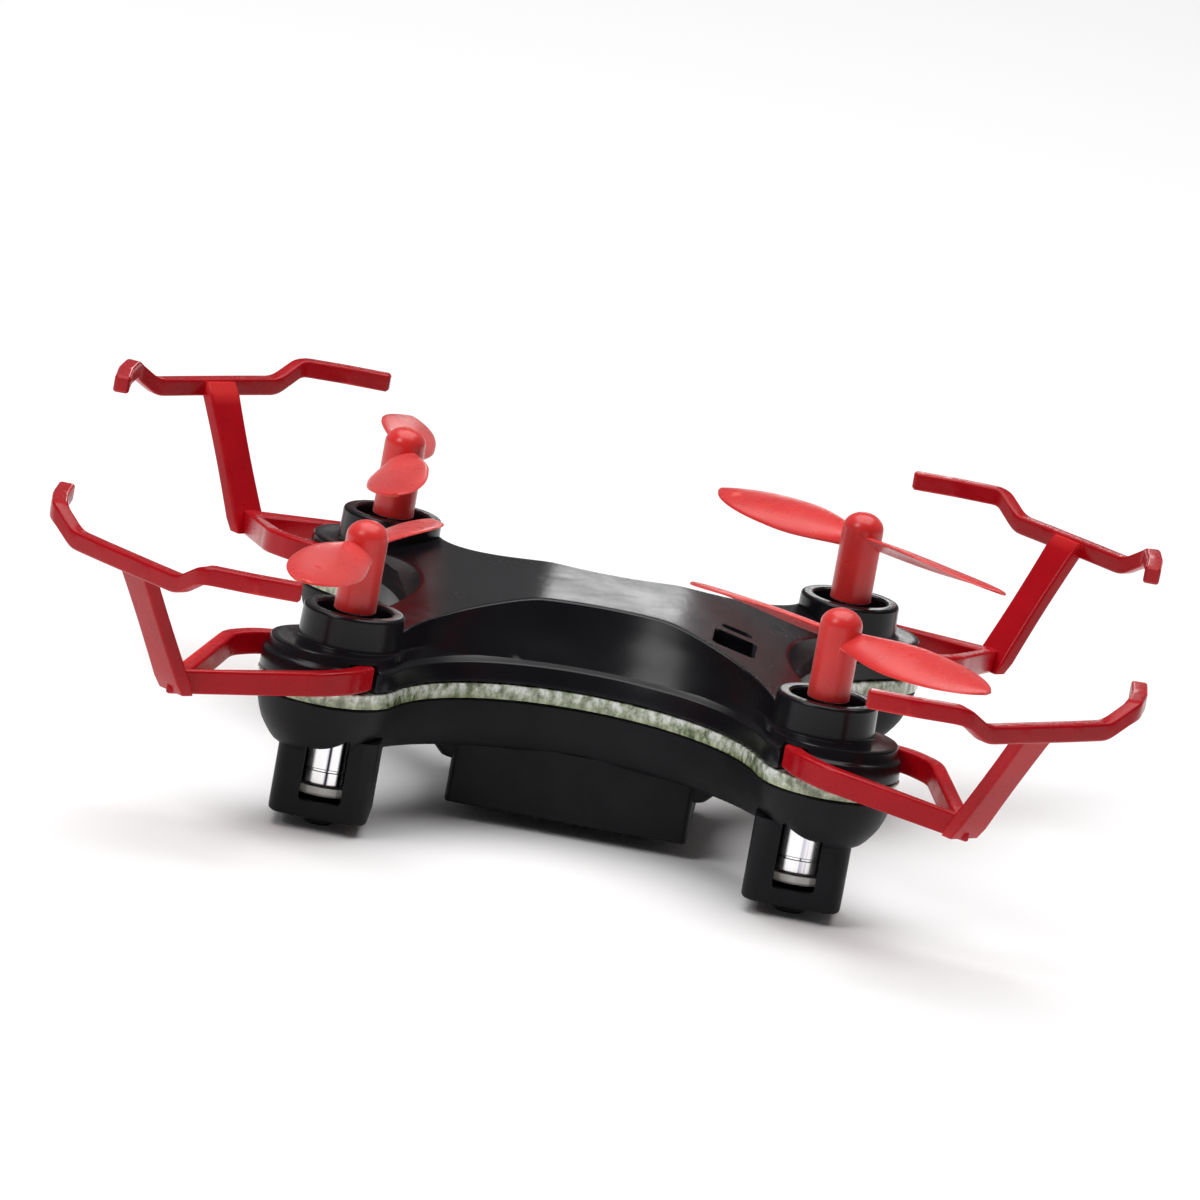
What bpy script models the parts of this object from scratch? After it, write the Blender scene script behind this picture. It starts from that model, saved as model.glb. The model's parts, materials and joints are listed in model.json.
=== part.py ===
"""Mini palm drone: a waisted two-shell body on four motor legs, with four
two-blade propellers and four clip-on bumper guards.

Lengths below are in millimetres and are turned into metres by the mesh
helpers. Z is up with the feet standing on Z = 0, X runs along the body and Y
across it. Motor axes are at (+-HALF_SPAN, +-HALF_SPAN).
"""

from math import atan2, cos, pi, radians, sin

import bmesh
import bpy
from mathutils import Matrix, Vector

MM = 0.001

# ---- driving dimensions ------------------------------------------------------
HALF_SPAN = 18.0          # motor axis from the middle, along X and along Y
COLLAR_TOP = 16.7         # height of the collar rims above the ground
POD_CENTRE = 19.0         # middle of each pod's skirt, a little outside its motor
WALL = 0.8                # shell wall
FIT = 0.2                 # clearance of a part that sits in another
SEAM = 0.1                # clearance where the shells clamp the light band

CROWN_TOP = COLLAR_TOP + 0.9
CROWN_FLAT = 4.5          # half length of the level part of the top
CROWN_SLOPE = 0.24        # steepest fall beyond the level part
CROWN_EASE = 1.5          # how gently the fall begins
FLANGE_Z = COLLAR_TOP - 2.6
CROWN_LOWEST = FLANGE_Z + 0.3
LEDGE_Z = COLLAR_TOP - 3.7
BAND_TOP = COLLAR_TOP - 5.25
BAND_BOTTOM = COLLAR_TOP - 6.4
FLOOR_TOP = COLLAR_TOP - 9.8
FLOOR_BOTTOM = FLOOR_TOP - WALL
LEG_BOTTOM = 1.0
BOX_BOTTOM = 1.2
BAND_PLAN = (5.3, 9.8, 15.5)    # pod radius and half waists where the shells meet
BAND_PROUD = 0.12
BAND_DEEP = 1.3

COLLAR_RADIUS = 3.85
COLLAR_MOUTH = 2.8
MOTOR_RADIUS = 3.0
MOTOR_TOP = COLLAR_TOP - 1.6
MOTOR_CAP = 0.8
MOTOR_BOTTOM = 2.6
SHAFT_RADIUS = 0.4
SHAFT_DEPTH = 3.0         # how far the shaft runs down into the motor
SHAFT_TOP = COLLAR_TOP + 4.2
BUSH_GAP = 0.07
LEG_HALF = 3.75
LEG_CORNER = 1.2
GULLY = 3.7               # how far inward from its motor axis each lead climbs
WINDOW_HALF = 1.6
WINDOW_Z = (COLLAR_TOP - 14.4, COLLAR_TOP - 9.1)

HUB_RADIUS = 1.6
HUB_BOTTOM = COLLAR_TOP - 0.2
HUB_TOP = COLLAR_TOP + 6.8
HUB_DOME = 1.3
BLADE_Z = COLLAR_TOP + 4.4
BLADE_TIP = 15.0

BOX_HALF_X = 9.3
BOX_HALF_Y = 8.8
BAY_HALF_X, BAY_HALF_Y = 8.6, 8.0
GROOVE_HALF_Y = 8.35
DOOR_Z = (BOX_BOTTOM + 0.35, BOX_BOTTOM + 0.75)
BOSS_X, BOSS_Y = 13.4, 8.4
BOSS_RADIUS = 1.3
PILOT_RADIUS = 0.7
SCREW_HEAD_RADIUS = 0.95
SCREW_SINK = 0.35

PCB_HALF_X, PCB_HALF_Y = 11.0, 7.4
PCB_BOTTOM = COLLAR_TOP - 7.9
PCB_TOP = PCB_BOTTOM + 0.8
LED_X, LED_Y = 6.9, 6.6

# switch pocket in the top skin, and the narrow vent beside it
POCKET_LOW = (8.5, -7.6)
POCKET_HIGH = (11.9, -2.6)
POCKET_FLOOR = COLLAR_TOP - 3.3
POCKET_WALL = 0.6
VENT_LOW = (8.9, -1.4)
VENT_HIGH = (11.4, -0.1)
SWITCH_X = (POCKET_LOW[0] + POCKET_HIGH[0]) / 2
SWITCH_Y = (POCKET_LOW[1] + POCKET_HIGH[1]) / 2
SWITCH_TRAVEL = 1.6
SWITCH_SLOT = (0.7, 2.0)  # half sizes of the knob's slot

CORNERS = {
    "front_left": (-1, -1),
    "front_right": (1, -1),
    "rear_right": (1, 1),
    "rear_left": (-1, 1),
}
BOSS_XY = [(sx * BOSS_X, sy * BOSS_Y) for sx, sy in CORNERS.values()]
# heading of each propeller's first blade, anticlockwise from +X
PROP_HEADING = {"front_left": 75, "front_right": -39, "rear_right": -40, "rear_left": 92}
# 1 for a propeller that turns anticlockwise seen from above, -1 for clockwise
PROP_HAND = {"front_left": -1, "front_right": 1, "rear_right": -1, "rear_left": 1}


# ---- materials ---------------------------------------------------------------
def material(name, colour, roughness, metallic=0.0, transmission=0.0):
    """A Principled material with one colour, roughness and metallic value."""
    made = bpy.data.materials.new(name)
    made.use_nodes = True
    shader = made.node_tree.nodes["Principled BSDF"]
    shader.inputs["Base Color"].default_value = (*colour, 1.0)
    shader.inputs["Roughness"].default_value = roughness
    shader.inputs["Metallic"].default_value = metallic
    shader.inputs["Transmission Weight"].default_value = transmission
    made.diffuse_color = (*colour, 1.0)
    return made


# ---- mesh helpers ------------------------------------------------------------
def to_object(name, bm, mat, location=(0, 0, 0), turn=0.0, parent=None):
    """Store a bmesh made in millimetres as an object placed in metres."""
    bmesh.ops.recalc_face_normals(bm, faces=bm.faces)
    bmesh.ops.scale(bm, vec=(MM, MM, MM), verts=bm.verts)
    mesh = bpy.data.meshes.new(name)
    bm.to_mesh(mesh)
    bm.free()
    mesh.materials.append(mat)
    mesh.shade_smooth()
    mesh.set_sharp_from_angle(angle=radians(35))
    made = bpy.data.objects.new(name, mesh)
    bpy.context.collection.objects.link(made)
    made.location = Vector(location) * MM
    made.rotation_euler.z = turn
    made.parent = parent
    return made


def loft(rings, close_top=True):
    """A solid through rings of points with equal counts, flat at its closed ends."""
    bm = bmesh.new()
    loops = [[bm.verts.new(p) for p in ring] for ring in rings]
    count = len(loops[0])
    for lower, upper in zip(loops, loops[1:]):
        for i in range(count):
            j = (i + 1) % count
            bm.faces.new((lower[i], lower[j], upper[j], upper[i]))
    bm.faces.new(list(reversed(loops[0])))
    if close_top:
        bm.faces.new(loops[-1])
    return bm


def joined(solids):
    """Several separate solids as one bmesh, for a single cut."""
    whole = bmesh.new()
    for solid in solids:
        mesh = bpy.data.meshes.new("solid")
        solid.to_mesh(mesh)
        solid.free()
        whole.from_mesh(mesh)
        bpy.data.meshes.remove(mesh)
    return whole


def box(low, high):
    """A box between two corners."""
    (x0, y0, z0), (x1, y1, z1) = low, high
    plan = [(x0, y0), (x1, y0), (x1, y1), (x0, y1)]
    return loft([[(x, y, z0) for x, y in plan], [(x, y, z1) for x, y in plan]])


def turned(profile, segments=24, centre=(0, 0)):
    """A solid of revolution about Z: profile holds (radius, height) upwards."""
    cx, cy = centre
    rings = []
    for radius, z in profile:
        ring = []
        for i in range(segments):
            angle = 2 * pi * i / segments
            ring.append((cx + radius * cos(angle), cy + radius * sin(angle), z))
        rings.append(ring)
    return loft(rings)


def rounded_square(half, corner, steps=4):
    """Plan points of a square with round corners, anticlockwise."""
    points = []
    inner = half - corner
    for quarter in range(4):
        cx = inner if quarter in (0, 3) else -inner
        cy = inner if quarter in (0, 1) else -inner
        for i in range(steps + 1):
            angle = pi / 2 * (quarter + i / steps)
            points.append((cx + corner * cos(angle), cy + corner * sin(angle)))
    return points


def arc(cx, cy, radius, start, end, steps):
    """Points from angle start to angle end, both included."""
    span = end - start
    return [(cx + radius * cos(start + span * i / steps), cy + radius * sin(start + span * i / steps))
            for i in range(steps + 1)]


# points along each part of a quadrant of the body's outline
ARM_STEPS, POD_STEPS, SPINE_STEPS = 5, 10, 3
FORK_X = 9.0


def waist_radius(pod, waist, c):
    """Radius of the concave arc tangent to two pods whose middle is at waist."""
    depth = c - waist
    return (c ** 2 + depth ** 2 - pod ** 2) / (2 * (pod + depth))


def body_outline(pod, waist_y, waist_x, c=POD_CENTRE):
    """Plan of the body: four round pods at (c, c) joined by four concave arcs."""
    end = waist_radius(pod, waist_x, c)
    side = waist_radius(pod, waist_y, c)
    end_c = waist_x + end
    side_c = waist_y + side
    quadrant = arc(end_c, 0, end, pi, atan2(c, c - end_c), ARM_STEPS)[:-1]
    quadrant += arc(c, c, pod, atan2(-c, end_c - c), atan2(side_c - c, -c), POD_STEPS)
    quadrant += arc(0, side_c, side, atan2(c - side_c, c), -pi / 2, ARM_STEPS + SPINE_STEPS)[1:]
    return four_quadrants(quadrant)


def four_quadrants(quadrant):
    """Mirror the points of one quadrant, from the X axis to the Y axis, into all four."""
    points = quadrant[:-1]
    points += [(-x, y) for x, y in reversed(quadrant)][:-1]
    points += [(-x, -y) for x, y in quadrant][:-1]
    points += [(x, -y) for x, y in reversed(quadrant)][:-1]
    return points


def spine_points(c):
    """For each outline point, its place on a spine that forks to the pods at (c, c)."""
    arm = []
    for i in range(ARM_STEPS):
        share = i / ARM_STEPS
        arm.append((FORK_X + (c - FORK_X) * share, c * share))
    middle = [(FORK_X * (1 - i / SPINE_STEPS), 0.0) for i in range(1, SPINE_STEPS + 1)]
    return four_quadrants(arm + [(c, c)] * (POD_STEPS + 1) + arm[::-1] + middle)


def body_loft(levels, inset=0.0, c=POD_CENTRE):
    """Loft body outlines: levels hold (height, pod radius, waist_y, waist_x)."""
    rings = []
    for z, pod, waist_y, waist_x in levels:
        plan = body_outline(pod - inset, waist_y - inset, waist_x - inset, c)
        rings.append([(x, y, z) for x, y in plan])
    return loft(rings)


def crown_height(x):
    """Height of the body's top skin: level in the middle, easing into a slope."""
    past = max(abs(x) - CROWN_FLAT, 0.0)
    return max(CROWN_TOP - CROWN_SLOPE * past ** 2 / (past + CROWN_EASE), CROWN_LOWEST)


def weld(mesh):
    """Merge points that a cut left within a thousandth of a millimetre."""
    bm = bmesh.new()
    bm.from_mesh(mesh)
    bmesh.ops.remove_doubles(bm, verts=bm.verts, dist=0.001 * MM)
    bmesh.ops.dissolve_degenerate(bm, edges=bm.edges, dist=0.001 * MM)
    bm.to_mesh(mesh)
    bm.free()


def boolean(target, tool_bm, operation):
    """Apply one exact Boolean between target and a solid in target's own space."""
    tool = to_object("tool", tool_bm, target.data.materials[0])
    tool.location = target.location
    tool.rotation_euler = target.rotation_euler
    step = target.modifiers.new(operation.lower(), "BOOLEAN")
    step.operation = operation
    step.object = tool
    step.solver = "EXACT"
    bpy.context.view_layer.update()
    evaluated = target.evaluated_get(bpy.context.evaluated_depsgraph_get())
    result = bpy.data.meshes.new_from_object(evaluated)
    weld(result)
    target.modifiers.clear()
    old = target.data
    target.data = result
    bpy.data.meshes.remove(old)
    tool_mesh = tool.data
    bpy.data.objects.remove(tool)
    bpy.data.meshes.remove(tool_mesh)


def tidy(target, sharp=35):
    """Weld doubles, dissolve flat slivers and mark the sharp edges again."""
    bm = bmesh.new()
    bm.from_mesh(target.data)
    bmesh.ops.remove_doubles(bm, verts=bm.verts, dist=0.004 * MM)
    bmesh.ops.dissolve_degenerate(bm, edges=bm.edges, dist=0.004 * MM)
    bmesh.ops.dissolve_limit(bm, angle_limit=radians(0.3), verts=bm.verts, edges=bm.edges)
    bmesh.ops.triangulate(bm, faces=[f for f in bm.faces if len(f.verts) > 4])
    bm.to_mesh(target.data)
    bm.free()
    target.data.shade_smooth()
    target.data.set_sharp_from_angle(angle=radians(sharp))


def corner_turn(name):
    """Rotation about Z that carries the rear right corner to the named one."""
    sx, sy = CORNERS[name]
    return atan2(sy, sx) - pi / 4


def motor_xy(name):
    sx, sy = CORNERS[name]
    return sx * HALF_SPAN, sy * HALF_SPAN


# ---- shells ------------------------------------------------------------------
SKIRT_LEVELS = (
    (BAND_TOP + SEAM, *BAND_PLAN),
    (LEDGE_Z, 5.3, 9.3, 15.3),
    (LEDGE_Z + 0.25, 4.95, 8.4, 14.7),
    (FLANGE_Z, 4.85, 7.6, 14.2),
)
# the raised middle, whose pods hide inside the motor collars
DECK_LEVELS = (
    (LEDGE_Z - 0.4, 3.75, 8.7, 15.0),
    (LEDGE_Z + 0.25, 3.75, 8.55, 14.8),
    (COLLAR_TOP - 1.2, 3.75, 7.0, 14.3),
    (COLLAR_TOP + 1.4, 3.75, 5.8, 13.9),
)
LOWER_LEVELS = (
    (FLOOR_BOTTOM, 3.0, 8.0, 13.0),
    (FLOOR_BOTTOM + 0.5, 3.7, 8.7, 13.8),
    (COLLAR_TOP - 8.2, 4.85, 9.5, 15.1),
    (BAND_BOTTOM - SEAM, 5.25, 9.7, 15.4),
)


def make_upper_shell(mat):
    shell = to_object("upper_shell", body_loft(SKIRT_LEVELS), mat)
    boolean(shell, deck(0.0), "UNION")
    rim = 0.25
    collar = [(COLLAR_RADIUS + 0.1, FLANGE_Z - 0.5), (COLLAR_RADIUS, COLLAR_TOP - rim),
              (COLLAR_RADIUS - rim, COLLAR_TOP)]
    boolean(shell, joined([turned(collar, 28, motor_xy(corner)) for corner in CORNERS]), "UNION")
    boolean(shell, skirt_cavity(), "DIFFERENCE")
    boolean(shell, deck(WALL), "DIFFERENCE")
    seat = MOTOR_RADIUS + FIT
    bore = [(seat, BAND_TOP - 2), (seat, MOTOR_TOP + 0.3), (COLLAR_MOUTH, MOTOR_TOP + 0.3),
            (COLLAR_MOUTH, COLLAR_TOP - 0.2), (COLLAR_MOUTH + 0.4, COLLAR_TOP + 0.2)]
    boolean(shell, joined([turned(bore, 28, motor_xy(corner)) for corner in CORNERS]), "DIFFERENCE")
    slots = [strut_slot(corner, side) for corner in CORNERS for side in (0, 1)]
    boolean(shell, joined(slots), "DIFFERENCE")
    boss = [(BOSS_RADIUS, FLOOR_TOP + FIT), (BOSS_RADIUS, crown_height(BOSS_X) - WALL / 2)]
    boolean(shell, joined([turned(boss, 12, centre) for centre in BOSS_XY]), "UNION")
    pilot = [(PILOT_RADIUS, FLOOR_TOP), (PILOT_RADIUS, FLOOR_TOP + 5.5)]
    boolean(shell, joined([turned(pilot, 10, centre) for centre in BOSS_XY]), "DIFFERENCE")
    x0, y0 = (value - POCKET_WALL for value in POCKET_LOW)
    x1, y1 = (value + POCKET_WALL for value in POCKET_HIGH)
    plan = [(x0, y0), (x1, y0), (x1, y1), (x0, y1)]
    floor = [(x, y, POCKET_FLOOR - POCKET_WALL) for x, y in plan]
    roof = [(x, y, crown_height(x) - WALL / 2) for x, y in plan]
    boolean(shell, loft([floor, roof]), "UNION")
    pocket = box((*POCKET_LOW, POCKET_FLOOR), (*POCKET_HIGH, CROWN_TOP))
    vent = box((*VENT_LOW, POCKET_FLOOR), (*VENT_HIGH, CROWN_TOP))
    boolean(shell, joined([pocket, vent]), "DIFFERENCE")
    slot_x, slot_y = SWITCH_SLOT
    slot = box((SWITCH_X - slot_x, SWITCH_Y - slot_y, POCKET_FLOOR - 1),
               (SWITCH_X + slot_x, SWITCH_Y + slot_y, CROWN_TOP))
    boolean(shell, slot, "DIFFERENCE")
    tidy(shell)
    return shell


def deck(inset):
    """The raised middle under the top skin, or, with an inset, the hollow in it."""
    heights = [level[0] for level in DECK_LEVELS]
    plans = [body_outline(pod - inset, waist_y - inset, waist_x - inset, HALF_SPAN)
             for _, pod, waist_y, waist_x in DECK_LEVELS]
    crease = []
    for column in zip(*plans):
        z = COLLAR_TOP
        for _ in range(20):
            x, y = between(heights, column, z)
            z = (z + crown_height(x) - inset) / 2
        crease.append((x, y, z))
    rings = [[(x, y, z) for x, y in plan] for z, plan in zip(heights[:2], plans)]
    half_way = [(a[2] + rings[1][i][2]) / 2 for i, a in enumerate(crease)]
    rings.append([(*between(heights, column, z), z) for column, z in zip(zip(*plans), half_way)])
    rings.append(crease)
    for share in (0.2, 0.5, 1.0):
        ring = []
        for (x, y, _), (to_x, to_y) in zip(crease, spine_points(HALF_SPAN)):
            inner_x = x + (to_x - x) * share
            ring.append((inner_x, y + (to_y - y) * share, crown_height(inner_x) - inset))
        rings.append(ring)
    solid = loft(rings, close_top=False)
    bmesh.ops.remove_doubles(solid, verts=solid.verts, dist=0.001)
    return solid


def between(heights, column, z):
    """The point at height z on a wall that passes through column at the given heights."""
    for low, high, (x0, y0), (x1, y1) in zip(heights, heights[1:], column, column[1:]):
        if z <= high or high == heights[-1]:
            share = (z - low) / (high - low)
            return x0 + (x1 - x0) * share, y0 + (y1 - y0) * share


def skirt_cavity():
    """The hollow inside the skirt, open downwards."""
    _, pod, waist_y, waist_x = SKIRT_LEVELS[0]
    levels = [(BAND_TOP - 2, pod, waist_y, waist_x)]
    levels += [level for level in SKIRT_LEVELS if level[0] < FLANGE_Z - WALL]
    levels.append((FLANGE_Z - WALL, *SKIRT_LEVELS[2][1:]))
    return body_loft(levels, WALL)


def strut_slot(corner, side):
    """The notch in a pod's skirt that a guard's tongue drops into."""
    tongue = guard_arm()[:2]
    if side:
        tongue = [(y, x, z) for x, y, z in tongue]
    (x0, y0, _), (x1, y1, _) = tongue
    run = Vector((x1 - x0, y1 - y0)).normalized()
    across = Vector((-run.y, run.x)) * (STRUT_THICK / 2 + FIT)
    start = Vector((x0, y0)) - run * 0.4
    end = Vector((x1, y1)) + run * 0.8
    plan = [start - across, end - across, end + across, start + across]
    if side:
        plan.reverse()
    bm = loft([[(p.x, p.y, z) for p in plan] for z in (BAND_TOP - 0.5, TONGUE_TOP + FIT)])
    place = Matrix.Rotation(corner_turn(corner), 4, "Z") @ Matrix.Translation((HALF_SPAN, HALF_SPAN, 0))
    bmesh.ops.transform(bm, matrix=place, verts=bm.verts)
    return bm


def make_lower_shell(mat):
    shell = to_object("lower_shell", body_loft(LOWER_LEVELS), mat)
    legs = []
    for mx, my in (motor_xy(corner) for corner in CORNERS):
        rings = []
        for z, inset in ((LEG_BOTTOM, 0.3), (LEG_BOTTOM + 0.3, 0.0), (FLOOR_TOP + 0.5, 0.0)):
            plan = rounded_square(LEG_HALF - inset, LEG_CORNER - inset)
            rings.append([(mx + x, my + y, z) for x, y in plan])
        legs.append(loft(rings))
    boolean(shell, joined(legs), "UNION")
    shoulder = []
    for z, hx, hy in ((FLOOR_BOTTOM - 1.5, 10.2, 8.2), (FLOOR_BOTTOM - 0.9, 10.8, 8.4),
                      (FLOOR_BOTTOM + 0.2, 11.8, 8.6)):
        shoulder.append([(hx, hy, z), (-hx, hy, z), (-hx, -hy, z), (hx, -hy, z)])
    boolean(shell, loft(shoulder), "UNION")
    tray = box((-BOX_HALF_X, -BOX_HALF_Y, BOX_BOTTOM), (BOX_HALF_X, BOX_HALF_Y, FLOOR_BOTTOM + 0.3))
    boolean(shell, tray, "UNION")

    inner_levels = [(FLOOR_TOP, 3.3, 8.0, 13.0)] + [
        (z, pod - WALL, wy - WALL, wx - WALL) for z, pod, wy, wx in LOWER_LEVELS[2:]]
    z_end, pod, wy, wx = inner_levels[-1]
    inner_levels.append((z_end + 1, pod, wy, wx))
    boolean(shell, body_loft(inner_levels), "DIFFERENCE")

    bay = box((-BAY_HALF_X, -BAY_HALF_Y, BOX_BOTTOM - 1), (BAY_HALF_X, BAY_HALF_Y, FLOOR_BOTTOM))
    boolean(shell, bay, "DIFFERENCE")
    groove = box((-BAY_HALF_X, -GROOVE_HALF_Y, DOOR_Z[0] - FIT),
                 (BOX_HALF_X + 1, GROOVE_HALF_Y, DOOR_Z[1] + FIT))
    boolean(shell, groove, "DIFFERENCE")
    mouth = box((8.0, -BAY_HALF_Y, BOX_BOTTOM - 1), (BOX_HALF_X + 1, BAY_HALF_Y, DOOR_Z[1] + FIT))
    boolean(shell, mouth, "DIFFERENCE")
    lead_hole = box((-8.2, -1.2, FLOOR_BOTTOM - 1), (-6.9, 1.2, FLOOR_TOP + 1))
    boolean(shell, lead_hole, "DIFFERENCE")

    seat = [(MOTOR_RADIUS + FIT, LEG_BOTTOM - 1), (MOTOR_RADIUS + FIT, FLOOR_TOP + 2)]
    boolean(shell, joined([turned(seat, 28, motor_xy(corner)) for corner in CORNERS]), "DIFFERENCE")
    channels, windows = [], []
    inward = GULLY / 2 ** 0.5
    for corner, (sx, sy) in CORNERS.items():
        mx, my = motor_xy(corner)
        channel = [(0.7, LEG_BOTTOM + 0.8), (0.7, FLOOR_TOP + 2)]
        channels.append(turned(channel, 10, (mx - sx * inward, my - sy * inward)))
        near, far = sorted((my + sy * 2.2, my + sy * (LEG_HALF + 1)))
        windows.append(box((mx - WINDOW_HALF, near, WINDOW_Z[0]), (mx + WINDOW_HALF, far, WINDOW_Z[1])))
    boolean(shell, joined(channels), "DIFFERENCE")
    boolean(shell, joined(windows), "DIFFERENCE")
    sink_radius = SCREW_HEAD_RADIUS + 0.3
    hole = [(sink_radius, FLOOR_BOTTOM - 1), (sink_radius, FLOOR_BOTTOM + SCREW_SINK),
            (PILOT_RADIUS, FLOOR_BOTTOM + SCREW_SINK), (PILOT_RADIUS, FLOOR_TOP + 1)]
    boolean(shell, joined([turned(hole, 16, centre) for centre in BOSS_XY]), "DIFFERENCE")
    tidy(shell)
    return shell


def make_light_band(mat):
    """The clear ring clamped between the shells; it stands a little proud."""
    outer = body_outline(*(size + BAND_PROUD for size in BAND_PLAN))
    inner = body_outline(*(size - BAND_DEEP for size in BAND_PLAN))
    count = len(outer)
    bm = bmesh.new()
    rings = []
    for plan, z in ((outer, BAND_BOTTOM), (outer, BAND_TOP), (inner, BAND_TOP), (inner, BAND_BOTTOM)):
        rings.append([bm.verts.new((x, y, z)) for x, y in plan])
    for this, following in zip(rings, rings[1:] + rings[:1]):
        for i in range(count):
            j = (i + 1) % count
            bm.faces.new((this[i], this[j], following[j], following[i]))
    return to_object("light_band", bm, mat)


# ---- battery, door and electronics -------------------------------------------
def make_battery_door(mat):
    """A plate with side tongues that run in the box's grooves, and a thumb nub."""
    back, half_y, tongue_y = FIT - BAY_HALF_X, BAY_HALF_Y - FIT, GROOVE_HALF_Y - FIT
    door = to_object("battery_door", box((back, -half_y, BOX_BOTTOM), (BOX_HALF_X, half_y, DOOR_Z[1])), mat)
    boolean(door, box((back, -tongue_y, DOOR_Z[0]), (BOX_HALF_X, tongue_y, DOOR_Z[1])), "UNION")
    for ridge in range(3):
        x = 5.2 + 0.9 * ridge
        boolean(door, box((x, -2.2, BOX_BOTTOM - 0.35), (x + 0.4, 2.2, BOX_BOTTOM + 0.2)), "UNION")
    tidy(door)
    return door


def make_battery(mat):
    """A flat pouch cell with rounded edges."""
    low, high = BOX_BOTTOM + 1.15, FLOOR_BOTTOM - FIT
    rings = []
    narrow, wide = (6.8, 6.9), (7.3, 7.4)
    for z, (half_x, half_y) in ((low, narrow), (low + 0.6, wide), (high - 0.6, wide), (high, narrow)):
        plan = rounded_square(1.0, 0.6, 3)
        rings.append([(0.7 + x + (half_x - 1) * (1 if x > 0 else -1),
                       y + (half_y - 1) * (1 if y > 0 else -1), z) for x, y in plan])
    return to_object("battery", loft(rings), mat)


def make_electronics(mats):
    board = to_object("circuit_board", box((-PCB_HALF_X, -PCB_HALF_Y, PCB_BOTTOM),
                                           (PCB_HALF_X, PCB_HALF_Y, PCB_TOP)), mats["board"])
    for sx in (-1, 1):
        for sy in (-1, 1):
            notch = turned([(1.4, PCB_BOTTOM - 1), (1.4, PCB_TOP + 1)], 12,
                           (sx * (PCB_HALF_X + 0.2), sy * (PCB_HALF_Y + 0.2)))
            boolean(board, notch, "DIFFERENCE")
    tidy(board)
    rest = PCB_TOP + FIT / 2
    chips = {
        "flight_chip": ((-2.5, -2.5), (2.5, 2.5), 0.9, "chip"),
        "radio_chip": ((-8.0, 1.0), (-4.5, 4.5), 0.8, "chip"),
        "crystal": ((-7.5, -4.0), (-4.8, -2.4), 0.7, "steel"),
        "motor_driver": ((4.2, -5.4), (6.6, -3.0), 0.8, "chip"),
    }
    for name, (low, high, tall, look) in chips.items():
        to_object(name, box((*low, rest), (*high, rest + tall)), mats[look])
    socket = box((-6.2, -1.9, PCB_BOTTOM - FIT / 2 - 1.4), (-3.4, 1.9, PCB_BOTTOM - FIT / 2))
    to_object("battery_socket", socket, mats["nylon"])
    for corner, (sx, sy) in CORNERS.items():
        x, y = sx * LED_X, sy * LED_Y
        led = box((x - 0.8, y - 0.5, rest), (x + 0.8, y + 0.5, rest + 0.6))
        to_object(f"led_{corner}", led, mats["led"])


def make_switch(mats):
    """The slide switch under the pocket, and its knob in the pocket's slot."""
    top = POCKET_FLOOR - POCKET_WALL - FIT / 2
    body = box((SWITCH_X - 1.3, SWITCH_Y - 2.6, PCB_TOP + FIT / 2), (SWITCH_X + 1.3, SWITCH_Y + 2.6, top))
    to_object("switch_body", body, mats["steel"])
    knob = to_object("switch_knob", box((-0.5, -0.55, 0), (0.5, 0.55, 1.9)), mats["knob"],
                     (SWITCH_X, SWITCH_Y - SWITCH_TRAVEL / 2, top + FIT / 2))
    boolean(knob, box((-1.05, -0.9, 0.95), (1.05, 0.9, 1.9)), "UNION")
    for rib in (-0.45, 0.15):
        boolean(knob, box((-1.05, rib, 1.7), (1.05, rib + 0.3, 2.2)), "UNION")
    tidy(knob)


def cable(name, points, radius, mat):
    """A round lead along a smooth curve through points."""
    knots = [Vector(p) for p in points]
    path = []
    for i in range(len(knots) - 1):
        a = knots[max(i - 1, 0)]
        b, c = knots[i], knots[i + 1]
        d = knots[min(i + 2, len(knots) - 1)]
        steps = max(2, round((c - b).length / (radius * 5)))
        for k in range(steps):
            t = k / steps
            path.append(0.5 * ((2 * b) + (c - a) * t + (2 * a - 5 * b + 4 * c - d) * t ** 2
                               + (3 * b - a - 3 * c + d) * t ** 3))
    path.append(knots[-1])
    curve = bpy.data.curves.new(name, "CURVE")
    curve.dimensions = "3D"
    spline = curve.splines.new("POLY")
    spline.points.add(len(path) - 1)
    for point, place in zip(spline.points, path):
        point.co = (*(place * MM), 1)
    curve.bevel_depth = radius * MM
    curve.bevel_resolution = 1
    curve.use_fill_caps = True
    curve.materials.append(mat)
    made = bpy.data.objects.new(name, curve)
    bpy.context.collection.objects.link(made)
    return made


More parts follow.
